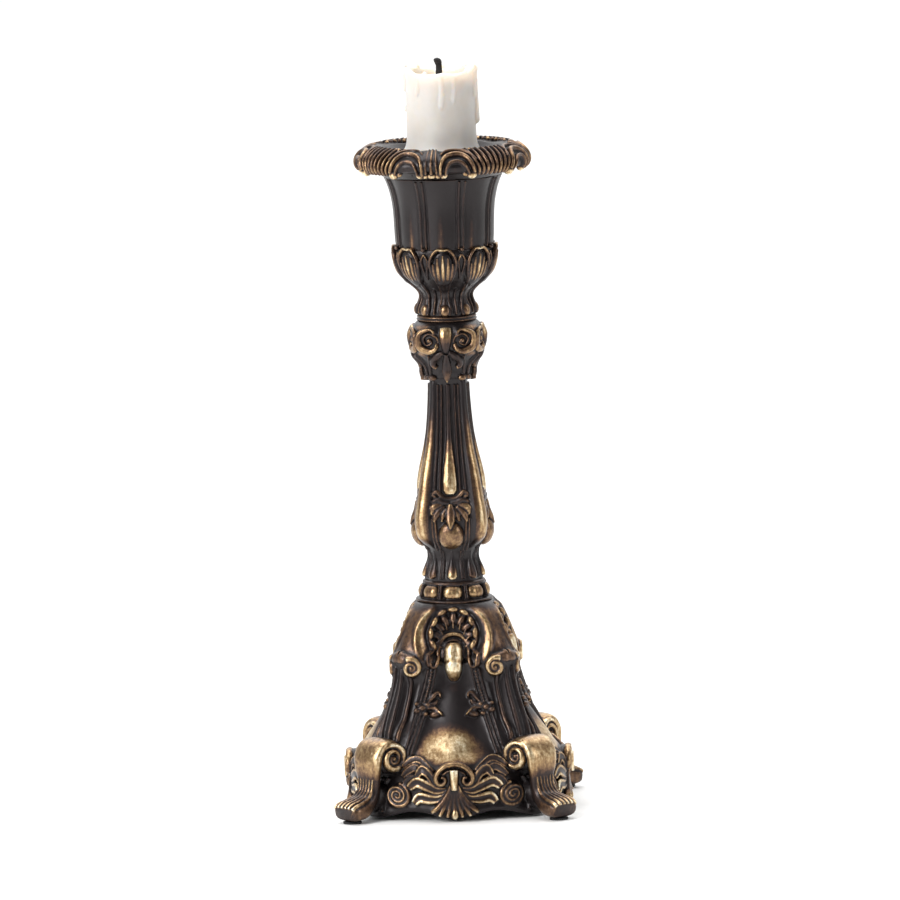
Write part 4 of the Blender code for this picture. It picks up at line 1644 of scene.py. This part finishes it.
@dataclass
class DripPan:
    """The drip pan: a dark dish and a rolled rim of pleats and paired C-scrolls."""

    turn: float = math.radians(-5)  # it was dropped in a little askew
    voxel: float = 0.40 * MM
    pleats: int = 8
    roll: tuple = ((35.2, 361.4), (38.2, 361.0), (41.6, 359.4), (44.6, 356.8), (45.8, 353.8), (45.0, 351.2),
                   (42.8, 350.0))
    under: tuple = ((40.4, 350.8), (36.4, 349.2), (33, 345.8), (26.3, 345.8), (26.1, 344), (25.3, 342.6),
                    (21.2, 345))
    dish: tuple = ((21.2, 352), (25, 354), (29, 357.6), (32.4, 360.8))

    @staticmethod
    def wave(angle: np.ndarray) -> np.ndarray:
        """How far the rim stands out at an angle."""
        return (0.9 * np.cos(4 * angle) + 0.4 * np.cos(12 * angle + 0.5) + 0.3 * np.cos(5 * angle + 2)) * MM

    def body(self, relief: Relief) -> None:
        """The dish, the roll and the step that drops into the cup.

        Args:
            relief: what the shapes are added to.
        """
        dish = smooth_line(self.dish, 4)
        roll = smooth_line(self.roll, 6)
        section = np.vstack([dish, roll, self.under]) * MM
        gilding = np.concatenate([np.full(len(dish), 0.04), np.full(len(roll), 0.18),
                                  np.full(len(self.under), 0.05)])
        angles = math.tau * np.arange(192) / 192
        rings = []
        for r, z in section:
            reach = self.wave(angles) * soft_step(np.array(r), 30 * MM, 36 * MM)
            rings.append(np.stack([(r + reach) * np.sin(angles), -(r + reach) * np.cos(angles),
                                   z + reach * 0.8], -1))
        relief.loft(np.array(rings)[::-1], np.repeat(gilding[::-1, None], len(angles), axis=1), torus=True)

    def scrolls(self, relief: Relief, ground: RimGround) -> None:
        """Half of one group: a rib of the fan, a double C-scroll, its border and its knobs.

        Args:
            relief: what the shapes are added to.
            ground: what the ornament is laid on.
        """
        fan = np.array([(0.048, 0.06), (0.052, 0.35), (0.068, 0.85)])
        relief.moulding(ground, smooth_line(fan), (0.6, 0.85), 1.3, 0.42, lift=0.5)
        relief.bead(ground, (0.078, 0.95), (1.7, 1.7, 1.9), 0.9, lift=0.8)
        ropes = (
            ([(0.110, 0.88), (0.115, 0.62), (0.165, 0.42), (0.26, 0.32), (0.37, 0.33), (0.46, 0.50),
              (0.52, 0.80)],
             (0.9, 1.4, 1.5, 1.1), 2.0, 0.55),
            ([(0.170, 0.86), (0.180, 0.70), (0.225, 0.56), (0.295, 0.52), (0.36, 0.55), (0.42, 0.68),
              (0.46, 0.86)],
             (0.7, 1.1, 1.1, 0.7), 1.6, 0.42),
            ([(0.115, 0.34), (0.20, 0.16), (0.33, 0.12), (0.46, 0.24), (0.55, 0.50)], (0.6, 1.0, 0.8), 1.3,
             0.40))
        for points, width, height, gilding in ropes:
            relief.moulding(ground, smooth_line(points), width, height, gilding, lift=0.6)
        for spot, size, gilding in (((0.145, 0.95), 2.3, 0.95), ((0.50, 0.93), 3.0, 1.0),
                                    ((0.42, 0.92), 1.6, 0.6),
                                    ((0.54, 0.10), 1.3, 0.6), ((0.62, 0.05), 1.1, 0.5)):
            relief.bead(ground, spot, (size, size * 0.9, size * 0.95), gilding, lift=0.6)

    def build(self, foundry: Foundry) -> None:
        """Builds the drip pan.

        Args:
            foundry: what casts the piece.
        """
        ground = RimGround(smooth_line(self.roll, 6) * MM)
        group = Relief()
        self.scrolls(group, ground)
        group.mirror(MIRROR_X)
        middle = np.array([(0, 0.04), (0, 0.4), (0, 0.86)])
        group.moulding(ground, smooth_line(middle), (0.7, 1.0), 1.4, 0.5, lift=0.5)
        group.bead(ground, (0, 0.96), (2.6, 1.7, 2.0), 1.0, lift=0.7)
        first, last = 0.575, 2 * DIAGONAL - 0.575
        for i, angle in enumerate(np.linspace(first, last, self.pleats)):
            slant = 0.11 * (DIAGONAL - angle) / (DIAGONAL - first)
            stray = 0.012 * math.sin(5 * i + 1)
            size = 1.0 + 0.16 * math.sin(7 * i)
            pleat = np.array([(angle - slant + stray, 0.06), (angle - slant * 0.6, 0.4), (angle, 0.72),
                              (angle + stray, 0.97)])
            group.moulding(ground, smooth_line(pleat), (0.6 * size, size, size), 1.7,
                           (0.20, 0.40, 0.55, 0.35), lift=0.3)
            group.bead(ground, (angle - slant * 1.1, 0.05), (1.2, 1.3, 1.5), 0.45 + 0.2 * math.sin(3 * i))
        whole = group.around(FACES)
        self.body(whole)
        askew = Relief()
        askew.take(whole, turned(self.turn))
        foundry.cast(askew, "drip_pan_cast", ["drip_pan"], Body.NOZZLE, self.voxel)


# ---- The candle ----


@dataclass(frozen=True)
class Wax:
    """White paraffin wax: light sinks in and spreads, so its shadows are soft and pale."""

    body_colour: str = "cac6c1"
    dull_colour: str = "c3beb8"
    depth: float = 11 * MM  # how far light spreads inside
    dull: float = 9 * MM  # size of the duller patches
    dimples: float = 2.2 * MM  # size of the dents in its skin
    spread: tuple = (1.0, 0.75, 0.55)  # red light goes furthest

    def make(self) -> bpy.types.Material:
        """Builds the material.

        Returns:
            The material.
        """
        made, tree, shader = new_material("paraffin_wax")
        place = add_node(tree, "ShaderNodeTexCoord").outputs["Object"]
        patches, fine = (
            add_node(tree, "ShaderNodeTexNoise", {
                "Vector": place, "Scale": 1 / size, "Detail": detail, "Roughness": share}).outputs["Fac"]
            for size, detail, share in ((self.dull, 3.0, 0.55), (self.dimples, 2.0, 0.5)))
        for name, low, high in (("Base Color", linear(self.dull_colour), linear(self.body_colour)),
                                ("Roughness", 0.34, 0.50)):
            ramp = add_node(tree, "ShaderNodeValToRGB", {"Fac": patches}, ((0.3, low), (0.7, high)))
            tree.links.new(ramp.outputs["Color"], shader.inputs[name])
        shader.inputs["Subsurface Weight"].default_value = 1.0
        shader.inputs["Subsurface Radius"].default_value = self.spread
        shader.inputs["Subsurface Scale"].default_value = self.depth
        bump = add_node(tree, "ShaderNodeBump", {"Height": fine, "Strength": 0.25, "Distance": 0.15 * MM})
        tree.links.new(bump.outputs["Normal"], shader.inputs["Normal"])
        return made


@dataclass
class Candle:
    """The part-burnt candle: a pool inside a ragged lip, runs of wax down its side, and its skirt."""

    wax: bpy.types.Material
    voxel: float = 0.42 * MM
    # radius and height up the side and over the lip
    side: tuple = (
        (18.9, 325.4), (18.9, 340), (19.0, 353.4), (21.0, 354.6), (21.8, 357.0), (20.6, 359.6), (19.4, 363),
        (18.9, 372), (19.0, 397), (19.2, 400.6), (19.0, 402.2), (18.3, 402.6), (17.4, 401.2), (16.6, 398.6),
        (13.5, 397.4), (4, 397.0))
    lip_height: float = 398 * MM

    def shape(self, angle: np.ndarray, radius: float, height: float) -> np.ndarray:
        """The candle's points at a ring of its side.

        Args:
            angle: angles round the ring, in radians.
            radius: the ring's radius in metres.
            height: the ring's height in metres.

        Returns:
            The ring's points.
        """
        waver = 0.16 * np.sin(2 * angle + 1) + 0.10 * np.sin(5 * angle) + 0.07 * np.sin(9 * angle + 2)
        skirt = math.exp(-((height / MM - 357.4) / 2.2) ** 2)
        ruffle = skirt * (0.7 * np.sin(3 * angle + 0.8) + 0.35 * np.sin(8 * angle))
        rise = 1.1 * np.cos(2 * angle + 3.0) + 0.5 * np.sin(5 * angle + 1) + 0.3 * np.sin(11 * angle)
        lip = float(soft_step(np.array(height), 396 * MM, 402 * MM)) * float(radius > 16.8 * MM)
        r = radius + (waver * min(1.0, radius / (17 * MM)) + ruffle) * MM
        return np.stack([r * np.sin(angle), -r * np.cos(angle), height + lip * rise * MM], -1)

    def runs(self, relief: Relief) -> None:
        """The runs and lumps of wax.

        Args:
            relief: what the shapes are added to.
        """
        ground = RoundGround(lambda angle, height: np.full_like(angle, 18.9 * MM), polar=True)
        runs = (  # angle, top, foot, half-width, how far it stands out
            (1.50, 403, 374, 2.6, 2.2), (1.32, 402, 388, 1.8, 1.3), (1.72, 402, 381, 1.8, 1.4),
            (0.06, 401, 383, 1.7, 0.9), (0.42, 401, 386, 1.3, 0.8), (-1.50, 402, 392, 1.9, 1.6),
            (-0.7, 401, 390, 1.5, 0.7), (2.6, 402, 368, 1.9, 1.4), (3.4, 402, 384, 1.6, 1.1),
            (-2.2, 402, 362, 2.0, 1.5), (-2.7, 401, 388, 1.4, 0.9))
        for angle, top, foot, width, out in runs:
            line = smooth_line(np.array([(angle, top), (angle + 0.03, (top + foot) / 2), (angle, foot + 2),
                                         (angle, foot)])
                               * [1, MM], 5)
            relief.moulding(ground, line, np.array([0.9, 0.8, 1.0, 0.9, 0.5]) * width,
                            np.array([0.5, 0.6, 0.8, 1.0, 0.6]) * out, 0.0, lift=0.2)
            relief.bead(ground, (angle, foot * MM + 1.2 * MM), (width * 0.9, 2.4, out), 0.0)
        lumps = (  # angle, height, size
            (-1.52, 401.6, 2.2), (-1.58, 404.4, 1.7), (-1.25, 402.8, 1.5), (1.55, 402.4, 2.2),
            (1.48, 404.4, 1.6), (1.62, 396, 1.9), (1.52, 386, 1.8), (-1.56, 381.6, 1.5), (0.9, 402.6, 1.2),
            (-0.4, 402.2, 1.0), (2.4, 403.0, 1.6), (-2.4, 403.2, 1.5), (3.1, 402.8, 1.3))
        for angle, height, size in lumps:
            relief.bead(ground, (angle, height * MM), (size, size * 1.1, size * 0.8), 0.0)

    def build(self) -> None:
        """Builds the candle and its wick."""
        angles = math.tau * np.arange(160) / 160
        rings = np.array([self.shape(angles, r, z) for r, z in smooth_line(self.side, 4) * MM])
        relief = Relief()
        relief.loft(rings, np.zeros(rings.shape[:2]))
        self.runs(relief)
        skin = fuse(relief, "wax_candle", self.voxel, softness=9)
        bpy.ops.object.shade_smooth()
        skin.data.materials.append(self.wax)
        report(skin, Body.CANDLE, Slot.WAX, "candle")


@dataclass
class Wick:
    """The burnt wick: three charred strands, twisted together and bent over at the top."""

    cotton: bpy.types.Material
    foot: float = 396.5 * MM
    top: float = 408.9 * MM
    thickness: float = 1.8 * MM
    lean: float = 1.3 * MM

    def build(self) -> None:
        """Builds the wick."""
        steps, sides = 56, 30
        turn = math.tau * np.arange(sides) / sides
        rings = []
        for i in range(steps):
            share = i / (steps - 1)
            strands = 1 + 0.16 * np.cos(3 * turn + 9 * share) + 0.05 * np.cos(7 * turn + 23 * share)
            taper = math.sqrt(max(0.04, 1 - max(0.0, (share - 0.90) / 0.10) ** 2)) * (0.95 + 0.08
                                                                                      * math.sin(9 * share))
            r = self.thickness * strands * taper
            ring = np.stack([r * np.cos(turn) - self.lean * share ** 1.6, r * np.sin(turn),
                             np.full(sides, self.foot + (self.top - self.foot) * share)], -1)
            rings.append(ring)
        relief = Relief()
        relief.loft(np.array(rings), np.zeros((steps, sides)))
        points, faces = joined(relief)
        wick = only(mesh_object("charred_wick", points, faces))
        bpy.ops.object.shade_smooth()
        wick.data.materials.append(self.cotton)
        report(wick, Body.CANDLE, Slot.COTTON, "wick")


# ---- The hardware that keeps its CAD shape ----


@dataclass(frozen=True)
class Finish:
    """A finish that varies between two tones over one scale of pattern."""

    name: str
    dark: str
    light: str
    metallic: float
    roughness: tuple[float, float]
    pattern: float  # size of the pattern in metres
    stretch: tuple[float, float, float] = (1.0, 1.0, 1.0)
    bump: float = 0.05 * MM

    def make(self) -> bpy.types.Material:
        """Builds the material.

        Returns:
            The material.
        """
        made, tree, shader = new_material(self.name)
        place = add_node(tree, "ShaderNodeTexCoord").outputs["Object"]
        drawn = add_node(tree, "ShaderNodeMapping",
                         {"Vector": place, "Scale": self.stretch}).outputs["Vector"]
        pattern = add_node(tree, "ShaderNodeTexNoise", {
            "Vector": drawn, "Scale": 1 / self.pattern, "Detail": 4.0, "Roughness": 0.6}).outputs["Fac"]
        for name, low, high in (("Base Color", linear(self.dark), linear(self.light)),
                                ("Roughness", *reversed(self.roughness))):
            ramp = add_node(tree, "ShaderNodeValToRGB", {"Fac": pattern}, ((0.3, low), (0.7, high)))
            tree.links.new(ramp.outputs["Color"], shader.inputs[name])
        shader.inputs["Metallic"].default_value = self.metallic
        bump = add_node(tree, "ShaderNodeBump", {"Height": pattern, "Strength": 0.4, "Distance": self.bump})
        tree.links.new(bump.outputs["Normal"], shader.inputs["Normal"])
        return made


# spun brass: fine rings round the axis catch the light in bands
SPUN_BRASS = Finish("spun_brass_socket", "8f7038", "caa866", 1.0, (0.22, 0.38), 3 * MM, (0.05, 0.05, 6.0))
# zinc-plated steel: cool and pale, with the plating's cloudy spangle
ZINC_STEEL = Finish("zinc_plated_steel", "8b8f93", "b9bdc0", 1.0, (0.28, 0.46), 2 * MM)
# moulded rubber: near black, and dull where it has taken up dust
PAD_RUBBER = Finish("moulded_rubber", "161617", "29292a", 0.0, (0.62, 0.85), 0.8 * MM)
# charred cotton: soot that swallows light, greyer on the ash of its strands
CHARRED_COTTON = Finish("charred_cotton_wick", "070606", "26211f", 0.0, (0.75, 0.95), 0.5 * MM,
                        bump=0.12 * MM)


def dress(material: bpy.types.Material, *nodes: str) -> None:
    """Gives CAD nodes that keep their shape a better material.

    Args:
        material: the finish.
        nodes: the nodes' names.
    """
    for node in nodes:
        for slot in frame["nodes"][node].material_slots:
            slot.material = material
        LOG.info("%s keeps its shape in %s", node, material.name)


# ---- Studio ----


@dataclass(frozen=True)
class Studio:
    """A pale floor, soft lights and a long lens a little above and to the right of the front."""

    centre_height: float = 0.195
    centre_across: float = -0.2 * MM
    distance: float = 6.0
    azimuth: float = 2.8
    elevation: float = 7.3
    roll: float = 1.6
    lens: float = 442.0
    floor_size: float = 12.0
    # name, place, what it is aimed at, size, and power in watts
    soft_boxes: tuple = (
        ("key", (-1.40, -1.15, 1.0), (0, 0, 0.2), (0.6, 1.3), 26),
        ("window", (-1.30, -1.65, 1.45), (0, 0, 0.2), (1.7, 1.3), 22),
        ("fill", (1.7, -0.7, 0.8), (0, 0, 0.2), (0.4, 1.2), 8),
        ("top", (-0.1, 0.1, 1.9), (0, 0, 0.2), (1.2, 1.2), 19),
        ("back", (0, 3.4, 3.0), (0, 3.2, 0), (6.0, 5.0), 150))
    # the room's brightness, from in front of the piece to behind it
    room: tuple = ((0.0, 0.16), (0.45, 0.22), (0.75, 0.9), (0.9, 1.05))

    def build(self) -> None:
        """Makes the floor, the lights and the camera."""
        self.floor()
        self.lights()
        self.camera()

    def floor(self) -> None:
        """A plain floor of white board."""
        bpy.ops.mesh.primitive_plane_add(size=self.floor_size, location=(0, 0, 0))
        floor = only(bpy.context.object)
        floor.name = "floor"
        made, _, shader = new_material("white_board")
        shader.inputs["Base Color"].default_value = linear("f4f4f3")
        shader.inputs["Roughness"].default_value = 0.75
        floor.data.materials.append(made)

    @staticmethod
    def soft_box(name: str, place: tuple, aim: tuple, size: tuple, power: float) -> None:
        """Hangs a soft box and turns it towards a point.

        Args:
            name: the light's name.
            place: where it hangs.
            aim: the point that it faces.
            size: its width and height in metres.
            power: its power in watts.
        """
        bpy.ops.object.light_add(type="AREA", location=place)
        light = only(bpy.context.object)
        light.name = name
        light.data.shape = "RECTANGLE"
        light.data.size, light.data.size_y = size
        light.data.energy = power
        towards = Vector(aim) - Vector(place)
        light.rotation_euler = towards.to_track_quat("-Z", "Y").to_euler()

    def lights(self) -> None:
        """A key on the left, a fill on the right, a top light, one for the floor behind, and a pale room."""
        for box in self.soft_boxes:
            self.soft_box(*box)
        world = bpy.data.worlds.new("room")
        bpy.context.scene.world = world
        world.use_nodes = True
        tree = world.node_tree
        way = add_node(tree, "ShaderNodeTexCoord").outputs["Generated"]
        depth = add_node(tree, "ShaderNodeSeparateXYZ", {"Vector": way}).outputs["Y"]
        share = add_node(tree, "ShaderNodeMapRange", {"Value": depth, "From Min": -1.0}).outputs["Result"]
        shade = add_node(tree, "ShaderNodeValToRGB", {"Fac": share}, self.room).outputs["Color"]
        tree.links.new(shade, tree.nodes["Background"].inputs["Color"])
        bpy.context.scene.view_settings.view_transform = "Standard"

    def camera(self) -> None:
        """The camera, aimed at the middle of the candlestick."""
        side, rise = math.radians(self.azimuth), math.radians(self.elevation)
        away = Vector((math.sin(side) * math.cos(rise), -math.cos(side) * math.cos(rise), math.sin(rise)))
        right = Vector((math.cos(side), math.sin(side), 0))
        aim = Vector((0, 0, self.centre_height)) + right * self.centre_across
        bpy.ops.object.camera_add(location=aim + away * self.distance)
        camera = only(bpy.context.object)
        camera.data.lens = self.lens
        camera.data.clip_end = 50
        facing = (-away).to_track_quat("-Z", "Y")
        facing.rotate(Quaternion(away, -math.radians(self.roll)))
        camera.rotation_euler = facing.to_euler()
        bpy.context.scene.camera = camera


def main() -> None:
    """Builds the candlestick's looks, in order from the table up."""
    logging.basicConfig(level=logging.INFO, format="%(name)s: %(message)s")
    foundry = Foundry(AntiqueBronze().make())
    for part in (Base(), BeadCollar(), Baluster(), ScrollKnop(), KnopRing(), PetalCalyx(), Cup(), DripPan()):
        part.build(foundry)
    Candle(Wax().make()).build()
    Wick(CHARRED_COTTON.make()).build()
    dress(SPUN_BRASS.make(), "candle_socket")
    dress(ZINC_STEEL.make(), "tie_rod", "base_washer", "base_nut", "cup_washer", "cup_nut")
    dress(PAD_RUBBER.make(), *(f"foot_pad_{i}" for i in range(1, FACES + 1)))
    Studio().build()


if __name__ == "__main__":
    main()
